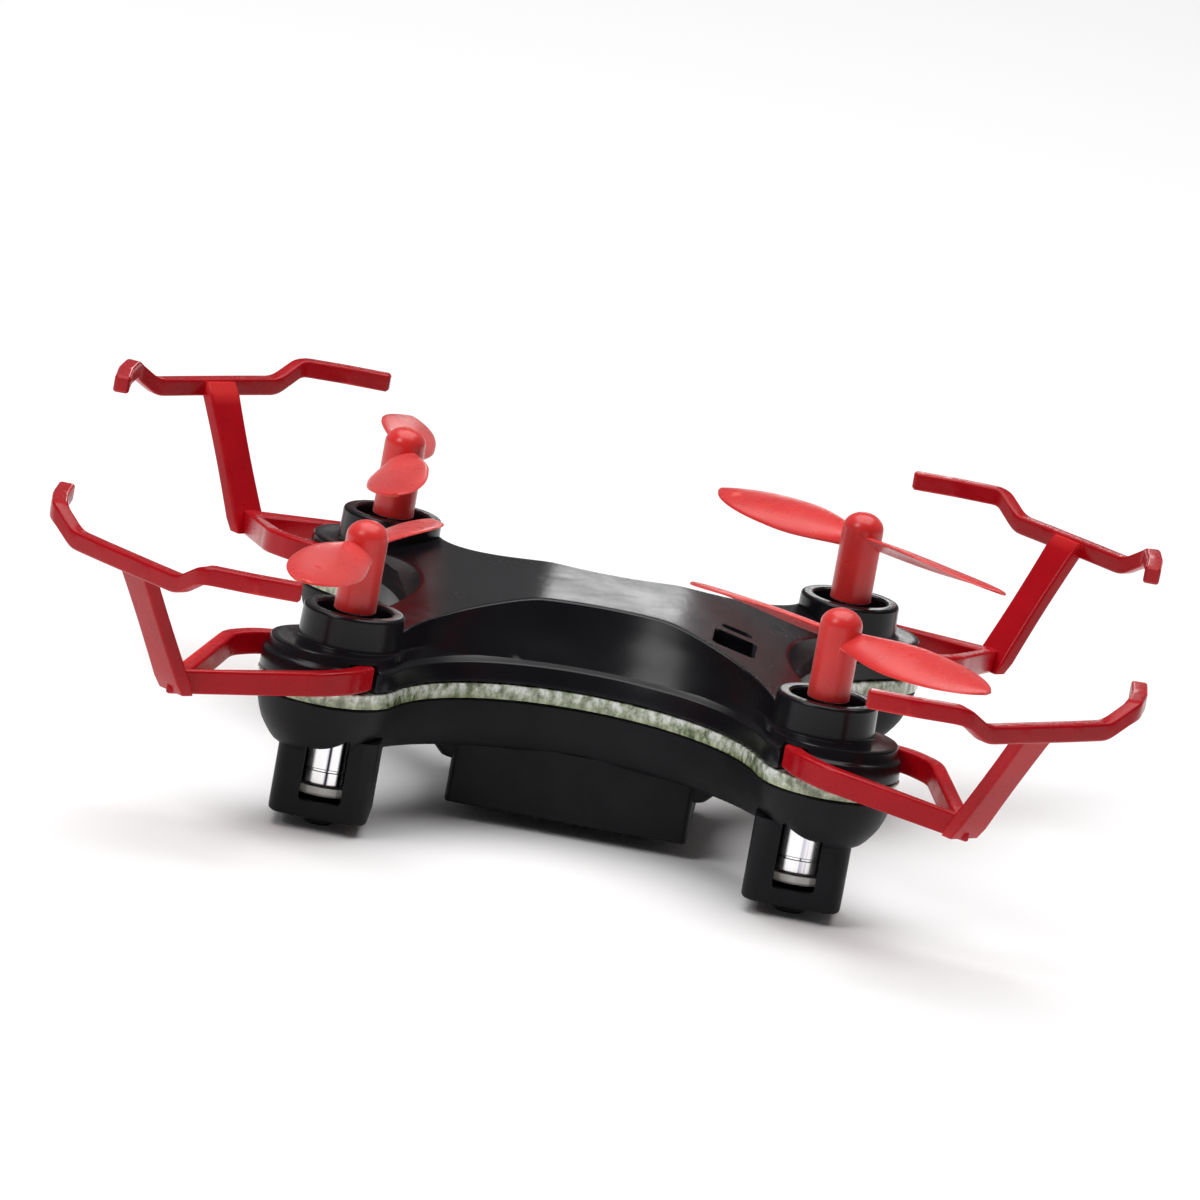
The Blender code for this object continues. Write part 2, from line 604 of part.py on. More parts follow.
def make_leads(mats):
    for corner, (sx, sy) in CORNERS.items():
        under = MOTOR_BOTTOM - 0.5
        gully = HALF_SPAN - GULLY / 2 ** 0.5
        run = []
        for inward, z in ((0.9, under), (2.0, under), (2.7, under + 0.12)):
            away = HALF_SPAN - inward / 2 ** 0.5
            run.append((sx * away, sy * away, z))
        for z in (under + 1.2, FLOOR_TOP - 2.5, FLOOR_TOP + 0.1):
            run.append((sx * gully, sy * gully, z))
        run.append((sx * 14.0, sy * 13.2, FLOOR_TOP + 0.75))
        run.append((sx * 11.6, sy * 10.2, FLOOR_TOP + 0.75))
        run.append((sx * 9.0, sy * 6.4, FLOOR_TOP + 0.95))
        cable(f"motor_lead_{corner}", run, 0.3, mats["lead"])
    exit_z = BOX_BOTTOM + 3.0
    run = [(-6.85, 0, exit_z), (-7.4, 0, exit_z + 0.25), (-7.6, 0, exit_z + 1.2),
           (-7.55, 0, FLOOR_TOP - 0.2), (-7.1, 0, FLOOR_TOP + 0.75), (-6.5, 0, FLOOR_TOP + 0.95)]
    cable("battery_lead", run, 0.35, mats["lead_red"])
    run = [(-9.3, 2.4, PCB_TOP + 0.5), (-11.4, 4.6, PCB_TOP + 0.9), (-11.4, 9.0, PCB_TOP + 1.2),
           (-8.0, 9.2, PCB_TOP + 1.3), (-3.5, 7.8, PCB_TOP + 1.3), (1.0, 7.5, PCB_TOP + 1.3)]
    cable("antenna_wire", run, 0.2, mats["lead"])


# ---- motors and propellers -----------------------------------------------------
def make_motor(corner, mats):
    x, y = motor_xy(corner)
    crimp = 0.25
    can = [(MOTOR_RADIUS - crimp, MOTOR_BOTTOM + MOTOR_CAP), (MOTOR_RADIUS, MOTOR_BOTTOM + MOTOR_CAP + crimp),
           (MOTOR_RADIUS, MOTOR_TOP - crimp), (MOTOR_RADIUS - crimp, MOTOR_TOP)]
    body = to_object(f"motor_can_{corner}", turned(can, 24, (x, y)), mats["can"])
    bush_radius = SHAFT_RADIUS + BUSH_GAP
    bush = [(bush_radius, MOTOR_TOP - SHAFT_DEPTH - FIT), (bush_radius, MOTOR_TOP + 1)]
    boolean(body, turned(bush, 12, (x, y)), "DIFFERENCE")
    tidy(body)
    cap_radius = MOTOR_RADIUS - 0.05
    cap = [(cap_radius - 0.2, MOTOR_BOTTOM), (cap_radius, MOTOR_BOTTOM + 0.2),
           (cap_radius, MOTOR_BOTTOM + MOTOR_CAP - FIT / 2)]
    to_object(f"motor_end_cap_{corner}", turned(cap, 16, (x, y)), mats["nylon"])
    foot = [(0.9, 0.0), (1.1, 0.2), (1.1, LEG_BOTTOM - 0.1), (MOTOR_RADIUS - FIT / 2, LEG_BOTTOM),
            (MOTOR_RADIUS - FIT / 2, LEG_BOTTOM + 0.7)]
    to_object(f"foot_{corner}", turned(foot, 16, (x, y)), mats["foot"])


def blade_section(reach):
    """Chord and pitch of the blade at a share of its length."""
    grow = sin(min(reach / 0.5, 1.0) * pi / 2)
    chord = 2.2 + 2.6 * grow ** 1.4
    if reach > 0.55:
        chord *= max(1 - ((reach - 0.55) / 0.455) ** 2.4, 0.0) ** 0.6
    pitch = radians(29 - 18 * reach)
    return chord, pitch


def propeller_blade(turn, hand):
    """One blade as stacked aerofoil sections from inside the hub to the tip."""
    sections = 9
    root = 0.6
    rings = []
    for i in range(sections):
        reach = i / (sections - 1)
        if i:
            reach = 1 - (1 - reach) ** 1.35
        chord, pitch = blade_section(min(reach, 0.995))
        thick = 0.62 - 0.3 * reach
        span = root + (BLADE_TIP - root) * reach
        ring = []
        for along, up in ((-0.5, 0.1), (-0.25, 0.75), (0.15, 0.8), (0.5, 0.05), (0.15, -0.2), (-0.25, -0.25)):
            across = along * chord
            lift = up * thick + 0.05 * chord * (1 - 4 * along ** 2)
            ring.append((span, hand * (across * cos(pitch) - lift * sin(pitch)),
                         BLADE_Z + across * sin(pitch) + lift * cos(pitch)))
        rings.append(ring)
    bm = loft(rings)
    bmesh.ops.rotate(bm, matrix=Matrix.Rotation(turn, 3, "Z"), verts=bm.verts)
    return bm


def make_propeller(corner, mats, spin):
    """Hub and two blades in one moulding, pressed on the motor's shaft."""
    hub = [(HUB_RADIUS - 0.15, HUB_BOTTOM), (HUB_RADIUS, HUB_BOTTOM + 0.15), (HUB_RADIUS, HUB_TOP - HUB_DOME)]
    for i in range(1, 5):
        angle = pi / 2 * i / 5
        hub.append((HUB_RADIUS * cos(angle), HUB_TOP - HUB_DOME + HUB_DOME * sin(angle)))
    hub.append((0.25, HUB_TOP))
    prop = to_object(f"propeller_{corner}", turned(hub, 20), mats["prop"])
    for turn in (0, pi):
        boolean(prop, propeller_blade(turn, PROP_HAND[corner]), "UNION")
    socket = [(SHAFT_RADIUS + 0.15, HUB_BOTTOM - 1), (SHAFT_RADIUS + 0.15, SHAFT_TOP + FIT)]
    boolean(prop, turned(socket, 12), "DIFFERENCE")
    tidy(prop, 30)
    prop.parent = spin
    prop.rotation_euler.z = radians(PROP_HEADING[corner])
    shaft = turned([(SHAFT_RADIUS, MOTOR_TOP - SHAFT_DEPTH), (SHAFT_RADIUS, SHAFT_TOP)], 12)
    to_object(f"motor_shaft_{corner}", shaft, mats["steel"], parent=spin)


# ---- guards --------------------------------------------------------------------
STRUT_TALL, STRUT_THICK = 1.85, 1.15
TONGUE_Z = COLLAR_TOP - 4.05
TONGUE_TOP = TONGUE_Z + STRUT_TALL / 2 - 0.15
RISER_FOOT = (11.8, 11.8, COLLAR_TOP - 5.4)
FORK_TIP = (11.4, 11.4, COLLAR_TOP - 5.4)
RISER_HEAD = (15.8, 15.8, COLLAR_TOP + 3.9)
RISER_WIDE, RISER_THICK = 3.1, 1.35
BUMPER_TALL, BUMPER_THICK = 1.4, 1.25
BUMPER_HIGH, BUMPER_LOW = COLLAR_TOP + 5.4, COLLAR_TOP + 3.9


def guard_arm():
    """One arm of the fork, from its tongue in the pod to where the arms meet.

    Guard points are outward from the motor axis; the other arm swaps X and Y.
    """
    return [(-2.0, 4.5, TONGUE_Z), (-0.9, 7.0, TONGUE_Z), (1.0, 8.9, TONGUE_Z - 0.1), FORK_TIP]


def bar(points, thick, tall, chamfer=0.2):
    """A chamfered rectangular bar along points, mitred in plan."""
    plan = [Vector(p[:2]) for p in points]
    rings = []
    for i, (x, y, z) in enumerate(points):
        before = (plan[i] - plan[i - 1]).normalized() if i else None
        after = (plan[i + 1] - plan[i]).normalized() if i + 1 < len(plan) else None
        run = ((before or after) + (after or before)).normalized()
        across = Vector((-run.y, run.x))
        stretch = 1 / max(run.dot(after or before), 0.5)
        w, h = thick / 2, tall / 2
        ring = []
        for a, b in ((w, h - chamfer), (w - chamfer, h), (chamfer - w, h), (-w, h - chamfer),
                     (-w, chamfer - h), (chamfer - w, -h), (w - chamfer, -h), (w, chamfer - h)):
            ring.append((x + across.x * a * stretch, y + across.y * a * stretch, z + b))
        rings.append(ring)
    return loft(rings)


def make_guard_mesh(mat):
    """Fork, riser and bumper, symmetric about the corner's diagonal."""
    arm = guard_arm()
    fork = arm + [(y, x, z) for x, y, z in reversed(arm[:-1])]
    guard = to_object("guard", bar(fork, STRUT_THICK, STRUT_TALL), mat)
    side = [(3.0, 22.6, BUMPER_HIGH), (6.6, 22.7, BUMPER_HIGH), (10.2, 22.4, BUMPER_HIGH),
            (11.9, 20.6, BUMPER_LOW), (14.4, 18.2, BUMPER_LOW)]
    bumper = side + [(y, x, z) for x, y, z in reversed(side)]
    boolean(guard, bar(bumper, BUMPER_THICK, BUMPER_TALL), "UNION")
    boolean(guard, riser_bar(), "UNION")
    tidy(guard, 30)
    return guard


def riser_bar():
    """The flat post that leans outward from the fork to the bumper."""
    foot, head = Vector(RISER_FOOT), Vector(RISER_HEAD)
    out = Vector((1, 1, 0)).normalized()
    across = Vector((-1, 1, 0)).normalized()
    lean = (head - foot).normalized()
    rings = []
    for place, wide in ((foot - lean * 0.85, RISER_WIDE), (foot + lean * 0.5, RISER_WIDE),
                        (head - lean * 0.6, RISER_WIDE - 0.3), (head + lean * 0.55, RISER_WIDE)):
        w, t, c = wide / 2, RISER_THICK / 2, 0.22
        ring = []
        for a, b in ((w, t - c), (w - c, t), (c - w, t), (-w, t - c), (-w, c - t), (c - w, -t), (w - c, -t),
                     (w, c - t)):
            ring.append(tuple(place + across * a + out * b))
        rings.append(ring)
    return loft(rings)


def make_guards(mat):
    pattern = make_guard_mesh(mat)
    for corner, (sx, sy) in CORNERS.items():
        made = bpy.data.objects.new(f"guard_{corner}", pattern.data)
        bpy.context.collection.objects.link(made)
        made.location = Vector((sx * HALF_SPAN, sy * HALF_SPAN, 0)) * MM
        made.rotation_euler.z = corner_turn(corner)
    bpy.data.objects.remove(pattern)


def make_screws(mat):
    head_z = FLOOR_BOTTOM - 0.45
    for corner, (sx, sy) in CORNERS.items():
        profile = [(0.6, head_z), (SCREW_HEAD_RADIUS, head_z + 0.2), (SCREW_HEAD_RADIUS, head_z + 0.65),
                   (0.5, head_z + 0.65), (0.5, head_z + 5.6)]
        screw = to_object(f"screw_{corner}", turned(profile, 12), mat, (sx * BOSS_X, sy * BOSS_Y, 0))
        for long_x, long_y in ((0.55, 0.12), (0.12, 0.55)):
            cross = box((-long_x, -long_y, head_z - 1), (long_x, long_y, head_z + 0.35))
            boolean(screw, cross, "DIFFERENCE")
        tidy(screw)


# ---- assembly ------------------------------------------------------------------
def build():
    for old in list(bpy.data.objects):
        bpy.data.objects.remove(old)
    mats = {
        "shell": material("black_shell", (0.018, 0.017, 0.02), 0.42),
        "band": material("clear_band", (0.82, 0.9, 0.84), 0.15, 0.0, 0.6),
        "guard": material("red_guard", (0.52, 0.012, 0.016), 0.3),
        "prop": material("coral_prop", (0.85, 0.09, 0.08), 0.35),
        "can": material("steel_can", (0.78, 0.78, 0.8), 0.22, 1.0),
        "steel": material("steel", (0.6, 0.6, 0.62), 0.3, 1.0),
        "nylon": material("white_nylon", (0.8, 0.79, 0.75), 0.5),
        "foot": material("black_foot", (0.02, 0.02, 0.02), 0.6),
        "board": material("board_green", (0.02, 0.14, 0.06), 0.4),
        "chip": material("chip_black", (0.02, 0.02, 0.022), 0.5),
        "led": material("led_lens", (0.9, 0.9, 0.75), 0.25),
        "knob": material("knob_black", (0.03, 0.03, 0.03), 0.5),
        "pouch": material("battery_pouch", (0.55, 0.56, 0.58), 0.35, 0.6),
        "lead": material("lead_black", (0.02, 0.02, 0.02), 0.5),
        "lead_red": material("lead_red", (0.5, 0.02, 0.02), 0.5),
    }
    make_upper_shell(mats["shell"])
    make_lower_shell(mats["shell"])
    make_light_band(mats["band"])
    make_battery_door(mats["shell"])
    make_battery(mats["pouch"])
    make_electronics(mats)
    make_switch(mats)
    make_leads(mats)
    make_guards(mats["guard"])
    make_screws(mats["steel"])
    for corner in CORNERS:
        make_motor(corner, mats)
        spin = bpy.data.objects.new(f"spin_{corner}", None)
        bpy.context.collection.objects.link(spin)
        x, y = motor_xy(corner)
        spin.location = Vector((x, y, 0)) * MM
        make_propeller(corner, mats, spin)


build()
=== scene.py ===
"""Looks of the mini palm drone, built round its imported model.

Lengths are in millimetres unless a comment says otherwise; to_object() turns them
into metres. The motor axes and the main heights are read from the frame, and the
other heights hang on them.
"""

import json
from math import atan2, cos, pi, radians, sin

import bmesh
import bpy
import numpy as np
from mathutils import Matrix, Vector


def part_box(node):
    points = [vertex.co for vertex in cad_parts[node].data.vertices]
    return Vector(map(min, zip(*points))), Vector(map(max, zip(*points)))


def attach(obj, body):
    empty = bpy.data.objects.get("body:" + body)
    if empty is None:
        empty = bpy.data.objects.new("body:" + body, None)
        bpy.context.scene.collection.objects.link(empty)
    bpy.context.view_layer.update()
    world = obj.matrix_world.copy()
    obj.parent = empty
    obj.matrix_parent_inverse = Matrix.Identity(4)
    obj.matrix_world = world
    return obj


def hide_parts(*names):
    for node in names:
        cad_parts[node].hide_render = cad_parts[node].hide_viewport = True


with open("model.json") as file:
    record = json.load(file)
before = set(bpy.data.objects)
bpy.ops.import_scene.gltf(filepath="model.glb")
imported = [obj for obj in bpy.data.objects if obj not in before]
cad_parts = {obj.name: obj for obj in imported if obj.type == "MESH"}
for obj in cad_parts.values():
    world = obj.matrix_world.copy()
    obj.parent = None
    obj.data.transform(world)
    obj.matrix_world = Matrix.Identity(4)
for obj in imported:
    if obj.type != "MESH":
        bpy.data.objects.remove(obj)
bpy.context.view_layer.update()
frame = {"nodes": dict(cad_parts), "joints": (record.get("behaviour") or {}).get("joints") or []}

MM = 0.001
CORNERS = {
    "front_left": (-1, -1),
    "front_right": (1, -1),
    "rear_right": (1, 1),
    "rear_left": (-1, 1),
}
# Each propeller's blade direction at rest, in degrees from +X, and its hand.
PROP_HEADING = {"front_left": 75, "front_right": -39, "rear_right": -40, "rear_left": 92}
PROP_HAND = {"front_left": -1, "front_right": 1, "rear_right": -1, "rear_left": 1}


def node_box(node):
    """Lowest and highest corner of a CAD node, in millimetres."""
    low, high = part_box(node)
    return Vector(low) / MM, Vector(high) / MM


# ---- driving sizes -------------------------------------------------------------
# Plans list the pod radius, the waist's half width along Y and its half length along X.
JOINT_AT = {joint["name"]: joint.get("pos_m") for joint in frame["joints"]}
HALF_SPAN = JOINT_AT["spin_rear_right"][0] / MM     # middle to a motor axis, along X and Y
POD_CENTRE = HALF_SPAN + 1.0
WALL = 0.8
SEAM = 0.1                                          # between the band and a shell's rim
FIT = 0.2                                           # round a piece that slides or drops in

CROWN_TOP = node_box("upper_shell")[1].z
CROWN_FLAT, CROWN_SLOPE, CROWN_EASE = 4.5, 0.24, 1.5
COLLAR_TOP = CROWN_TOP - 0.9
COLLAR_RADIUS, COLLAR_EDGE, COLLAR_MOUTH = 3.85, 0.28, 2.8
FLANGE_Z = COLLAR_TOP - 2.6                         # flat ring of a pod, round its collar
CROWN_LOWEST = FLANGE_Z + 0.3
LEDGE_Z = COLLAR_TOP - 3.7                          # step low on the upper shell's wall
POCKET_LOW, POCKET_HIGH = (8.5, -7.6), (11.9, -2.6)
POCKET_FLOOR, POCKET_WALL = COLLAR_TOP - 3.3, 0.6
SWITCH_SLOT = (0.7, 2.0)
VENT_LOW, VENT_HIGH = (8.9, -1.4), (11.4, -0.1)

BAND_BOTTOM, BAND_TOP = (corner.z for corner in node_box("light_band"))
BAND_PLAN = (5.3, 9.8, 15.5)
BAND_PROUD, BAND_DEEP, BAND_EDGE = 0.12, 1.3, 0.14

FLOOR_TOP = COLLAR_TOP - 9.8
FLOOR_BOTTOM = FLOOR_TOP - WALL
LEG_BOTTOM = node_box("lower_shell")[0].z
LEG_HALF = 3.75
WINDOW_HALF, WINDOW_INNER = 1.6, 2.2                # half width, and how far out it starts
WINDOW_Z = (COLLAR_TOP - 14.4, COLLAR_TOP - 9.1)
GULLY, GULLY_RADIUS = 3.7, 0.7                      # a motor lead's way up, from the axis
BOSS_X, BOSS_Y = 13.4, 8.4                          # the screw posts
BOSS_RADIUS, PILOT_RADIUS, PILOT_DEPTH = 1.3, 0.7, 5.5
SINK_RADIUS, SINK_DEPTH = 1.25, 0.35
BOX_HALF_X, BOX_HALF_Y = 9.3, 8.8                   # the battery box
BAY_HALF_X, BAY_HALF_Y, GROOVE_HALF_Y = 8.6, 8.0, 8.35
RIDGE_DROP, RIDGE_FROM, RIDGE_PITCH = 0.35, 5.4, 0.9    # the door's thumb ridges
BOX_BOTTOM = node_box("battery_door")[0].z + RIDGE_DROP
DOOR_Z = (BOX_BOTTOM + 0.35, BOX_BOTTOM + 0.75)     # the door's tongues

MOTOR_LOW, MOTOR_TOP = (corner.z for corner in node_box("motor_can_front_left"))
MOTOR_RADIUS, MOTOR_CRIMP = 3.0, 0.3
MOTOR_SEAT = MOTOR_RADIUS + FIT
SHAFT_BORE = 0.47
HUB_LOW, HUB_HIGH = (corner.z for corner in node_box("propeller_front_left"))
HUB_RADIUS, HUB_DOME, HUB_BORE = 1.6, 1.3, 0.55
BLADE_Z = COLLAR_TOP + 4.4
BLADE_ROOT, BLADE_TIP = 0.6, 15.0


# ---- materials -----------------------------------------------------------------
class Nodes:
    """A material's node tree, with one short call for each node."""

    def __init__(self, name):
        """Start a material that holds one Principled BSDF."""
        self.material = bpy.data.materials.new(name)
        self.material.use_nodes = True
        self.tree = self.material.node_tree
        self.shader = self.tree.nodes["Principled BSDF"]
        self.place = self.add("ShaderNodeTexCoord").outputs["Object"]

    def add(self, kind, **settings):
        """Add a node; each setting is one of its properties or a named input."""
        node = self.tree.nodes.new(kind)
        for key, value in settings.items():
            if hasattr(node, key):
                setattr(node, key, value)
            else:
                node.inputs[key.replace("_", " ").title()].default_value = value
        return node

    def link(self, output, target):
        """Join an output to an input."""
        self.tree.links.new(output, target)

    def stretched(self, scale):
        """Object coordinates scaled apart along X, Y and Z."""
        mapping = self.add("ShaderNodeMapping")
        mapping.inputs["Scale"].default_value = scale
        self.link(self.place, mapping.inputs["Vector"])
        return mapping.outputs["Vector"]

    def noise(self, scale, detail=4.0, roughness=0.55, vector=None):
        """Noise whose scale counts features per metre."""
        node = self.add("ShaderNodeTexNoise", scale=scale, detail=detail, roughness=roughness)
        self.link(vector or self.place, node.inputs["Vector"])
        return node.outputs["Fac"]

    def ramp(self, factor, stops):
        """Colours along a factor; each stop is (position, colour)."""
        node = self.add("ShaderNodeValToRGB")
        elements = node.color_ramp.elements
        while len(elements) < len(stops):
            elements.new(0.5)
        for element, (position, colour) in zip(elements, stops):
            element.position = position
            element.color = (*colour, 1.0)
        self.link(factor, node.inputs["Fac"])
        return node.outputs["Color"]

    def spread(self, factor, low, high, start=0.3, end=0.7):
        """Map a factor between start and end onto low to high."""
        node = self.add("ShaderNodeMapRange", from_min=start, from_max=end, to_min=low, to_max=high)
        self.link(factor, node.inputs["Value"])
        return node.outputs["Result"]

    def blend(self, factor, first, second, mode="MIX"):
        """Mix two colours, each of them a tuple or another node's output."""
        node = self.add("ShaderNodeMix", data_type="RGBA", blend_type=mode)
        sockets = (node.inputs[0], node.inputs[6], node.inputs[7])
        for value, socket in zip((factor, first, second), sockets):
            if isinstance(value, bpy.types.NodeSocket):
                self.link(value, socket)
            elif isinstance(value, tuple):
                socket.default_value = (*value, 1.0)
            else:
                socket.default_value = value
        return node.outputs[2]

    def bump(self, height, strength, distance):
        """Raise the surface by a height; distance is in metres."""
        node = self.add("ShaderNodeBump", strength=strength, distance=distance)
        self.link(height, node.inputs["Height"])
        self.link(node.outputs["Normal"], self.shader.inputs["Normal"])

    def edges(self, low, high):
        """1 along convex edges, 0 on flats."""
        point = self.add("ShaderNodeNewGeometry").outputs["Pointiness"]
        return self.spread(point, 0.0, 1.0, low, high)

    def upward(self, vector):
        """The Z part of a vector."""
        parts = self.add("ShaderNodeSeparateXYZ")
        self.link(vector, parts.inputs["Vector"])
        return parts.outputs["Z"]

    def surface(self, colour, roughness):
        """Link the shader's colour and roughness."""
        self.link(colour, self.shader.inputs["Base Color"])
        self.link(roughness, self.shader.inputs["Roughness"])

    def level_faces(self):
        """1 on faces that look up or down, 0 on upright ones."""
        normal = self.add("ShaderNodeNewGeometry").outputs["Normal"]
        size = self.add("ShaderNodeMath", operation="ABSOLUTE")
        self.link(self.upward(normal), size.inputs[0])
        return self.spread(size.outputs["Value"], 0.0, 1.0, 0.4, 0.6)

    def set(self, **values):
        """Give the shader's own inputs their constants."""
        for key, value in values.items():
            self.shader.inputs[key.replace("_", " ")].default_value = value


def moulded_black():
    """Satin black ABS: fine spark grain, faint violet-grey sheen, and painted highlights along its convex
    edges.
    """
    m = Nodes("satin_black_moulding")
    cloud = m.noise(90, 3)
    base = m.ramp(cloud, ((0.3, (0.0045, 0.0042, 0.0056)), (0.7, (0.0085, 0.0076, 0.010))))
    # Convex edges are painted a lighter grey: a painted highlight along creases and rims.
    highlit_edges = m.blend(m.edges(0.54, 0.66), base, (0.05, 0.047, 0.055))
    m.surface(highlit_edges, m.spread(m.noise(260, 4), 0.20, 0.28))
    m.bump(m.noise(9000, 3), 0.12, 0.00004)
    m.set(Specular_IOR_Level=0.24)
    return m.material


def moulded_black_lower():
    """The lower shell's duller black, with a coarser spark grain and faint painted highlights on its
    convex edges.
    """
    m = Nodes("dull_black_moulding")
    cloud = m.noise(110, 3)
    base = m.ramp(cloud, ((0.3, (0.004, 0.004, 0.0052)), (0.7, (0.0075, 0.0075, 0.0095))))
    # Convex edges are painted a lighter black: a painted highlight along rims and corners.
    highlit_edges = m.blend(m.edges(0.56, 0.68), base, (0.02, 0.02, 0.023))
    m.surface(highlit_edges, m.spread(m.noise(300, 4), 0.42, 0.55))
    m.bump(m.noise(7000, 3), 0.2, 0.00005)
    m.set(Specular_IOR_Level=0.18)
    return m.material


def clear_band():
    """Clear light pipe: a frosted, streaky inside with painted white glints, yellow-green and darker
    toward its lower edge, and whiter toward its top as a painted highlight.
    """
    m = Nodes("clear_light_pipe")
    streak = m.noise(1300, 5, 0.62, m.stretched((1, 1, 0.8)))
    # The white end of this ramp paints glints into the streaks.
    base = m.ramp(streak, ((0.34, (0.10, 0.12, 0.07)), (0.43, (0.32, 0.37, 0.24)),
                           (0.52, (0.62, 0.67, 0.55)), (0.60, (0.98, 1.0, 0.97))))
    # Darker olive toward the lower edge is the pipe's tint; white toward the top edge is a painted
    # highlight.
    rise = m.spread(m.upward(m.place), 0.0, 1.0, BAND_BOTTOM * MM, BAND_TOP * MM)
    tint_and_top_highlight = m.ramp(rise, ((0.1, (0.55, 0.60, 0.38)), (0.75, (1.0, 1.0, 1.0))))
    m.surface(m.blend(1.0, base, tint_and_top_highlight, "MULTIPLY"), m.spread(streak, 0.3, 0.06))
    m.bump(m.noise(1400, 4), 0.8, 0.00015)
    m.set(Transmission_Weight=0.2, IOR=1.49, Specular_IOR_Level=0.6)
    m.set(Coat_Weight=1.0, Coat_Roughness=0.05)
    return m.material


def red_guard():
    """Glossy deep red polypropylene with faint flow lines and painted highlights on its convex edges."""
    m = Nodes("glossy_deep_red")
    flow = m.noise(160, 4, 0.6)
    base = m.ramp(flow, ((0.3, (0.34, 0.0015, 0.006)), (0.7, (0.46, 0.003, 0.009))))
    # Convex edges are painted a lighter red: a painted highlight, not a colour of the moulding.
    highlit_edges = m.blend(m.edges(0.55, 0.68), base, (0.66, 0.03, 0.03))
    m.surface(highlit_edges, m.spread(m.noise(500, 3), 0.2, 0.32))
    m.bump(m.noise(2600, 3), 0.12, 0.00004)
    m.set(Specular_IOR_Level=0.22)
    return m.material


def coral_prop():
    """Slightly translucent coral red blade plastic, with painted highlights on its convex edges."""
    m = Nodes("coral_blade_plastic")
    flow = m.noise(140, 4, 0.6)
    base = m.ramp(flow, ((0.3, (0.62, 0.018, 0.018)), (0.7, (0.76, 0.035, 0.030))))
    # Convex edges are painted a paler pink: a painted highlight along the rims.
    highlit_edges = m.blend(m.edges(0.55, 0.68), base, (0.90, 0.12, 0.08))
    m.surface(highlit_edges, m.spread(m.noise(420, 3), 0.24, 0.36))
    m.bump(m.noise(2400, 3), 0.1, 0.00004)
    m.set(Subsurface_Weight=0.15, Subsurface_Scale=0.0012, Subsurface_Radius=(1.0, 0.25, 0.18))
    m.set(Specular_IOR_Level=0.45, Sheen_Weight=0.3, Sheen_Roughness=0.45)
    m.set(Sheen_Tint=(1.0, 0.72, 0.72, 1.0))
    return m.material


def motor_steel():
    """Bright drawn can: its wall's near-black and white streaks, running up and down, are painted
    reflections, and the ends are plain.
    """
    m = Nodes("drawn_motor_can")
    streak = m.noise(1500, 2, 0.5, m.stretched((1, 1, 0.02)))
    # Near-black to white stripes on a metal: painted reflections of the surroundings, kept to the upright
    # wall.
    wall = m.ramp(streak, ((0.42, (0.03, 0.03, 0.035)), (0.47, (0.60, 0.57, 0.66)),
                           (0.54, (1.0, 1.0, 1.0))))
    end = m.ramp(m.noise(900, 4), ((0.3, (0.26, 0.26, 0.28)), (0.7, (0.40, 0.40, 0.42))))
    m.surface(m.blend(m.level_faces(), wall, end), m.spread(streak, 0.14, 0.3))
    m.bump(streak, 0.15, 0.00003)
    m.set(Metallic=1.0)
    return m.material


def plain_steel():
    """Plated steel of the screws, the shafts and the crystal's can."""
    m = Nodes("plated_steel")
    mottle = m.noise(600, 4)
    base = m.ramp(mottle, ((0.3, (0.42, 0.42, 0.44)), (0.7, (0.64, 0.64, 0.66))))
    m.surface(base, m.spread(mottle, 0.25, 0.42))
    m.bump(m.noise(3000), 0.1, 0.00003)
    m.set(Metallic=1.0)
    return m.material


def tinted(name, dark, light, rough, grain, depth, metallic):
    """A two-tone mottled surface with a fine grain, features per metre, depth in metres."""
    m = Nodes(name)
    mottle = m.noise(grain / 6, 4)
    m.surface(m.ramp(mottle, ((0.3, dark), (0.7, light))), m.spread(mottle, *rough))
    m.bump(m.noise(grain, 3), 0.3, depth)
    m.set(Metallic=metallic)
    return m.material


def solder_mask():
    """Green board with a fine grid of lighter tracks."""
    m = Nodes("green_solder_mask")
    brick = m.add("ShaderNodeTexBrick")
    brick.inputs["Scale"].default_value = 900
    brick.inputs["Mortar Size"].default_value = 0.06
    brick.inputs["Color1"].default_value = (0.012, 0.11, 0.045, 1)
    brick.inputs["Color2"].default_value = (0.016, 0.14, 0.055, 1)
    brick.inputs["Mortar"].default_value = (0.03, 0.21, 0.09, 1)
    m.link(m.place, brick.inputs["Vector"])
    m.surface(brick.outputs["Color"], m.spread(m.noise(700), 0.22, 0.38))
    m.bump(brick.outputs["Fac"], 0.3, 0.00003)
    return m.material


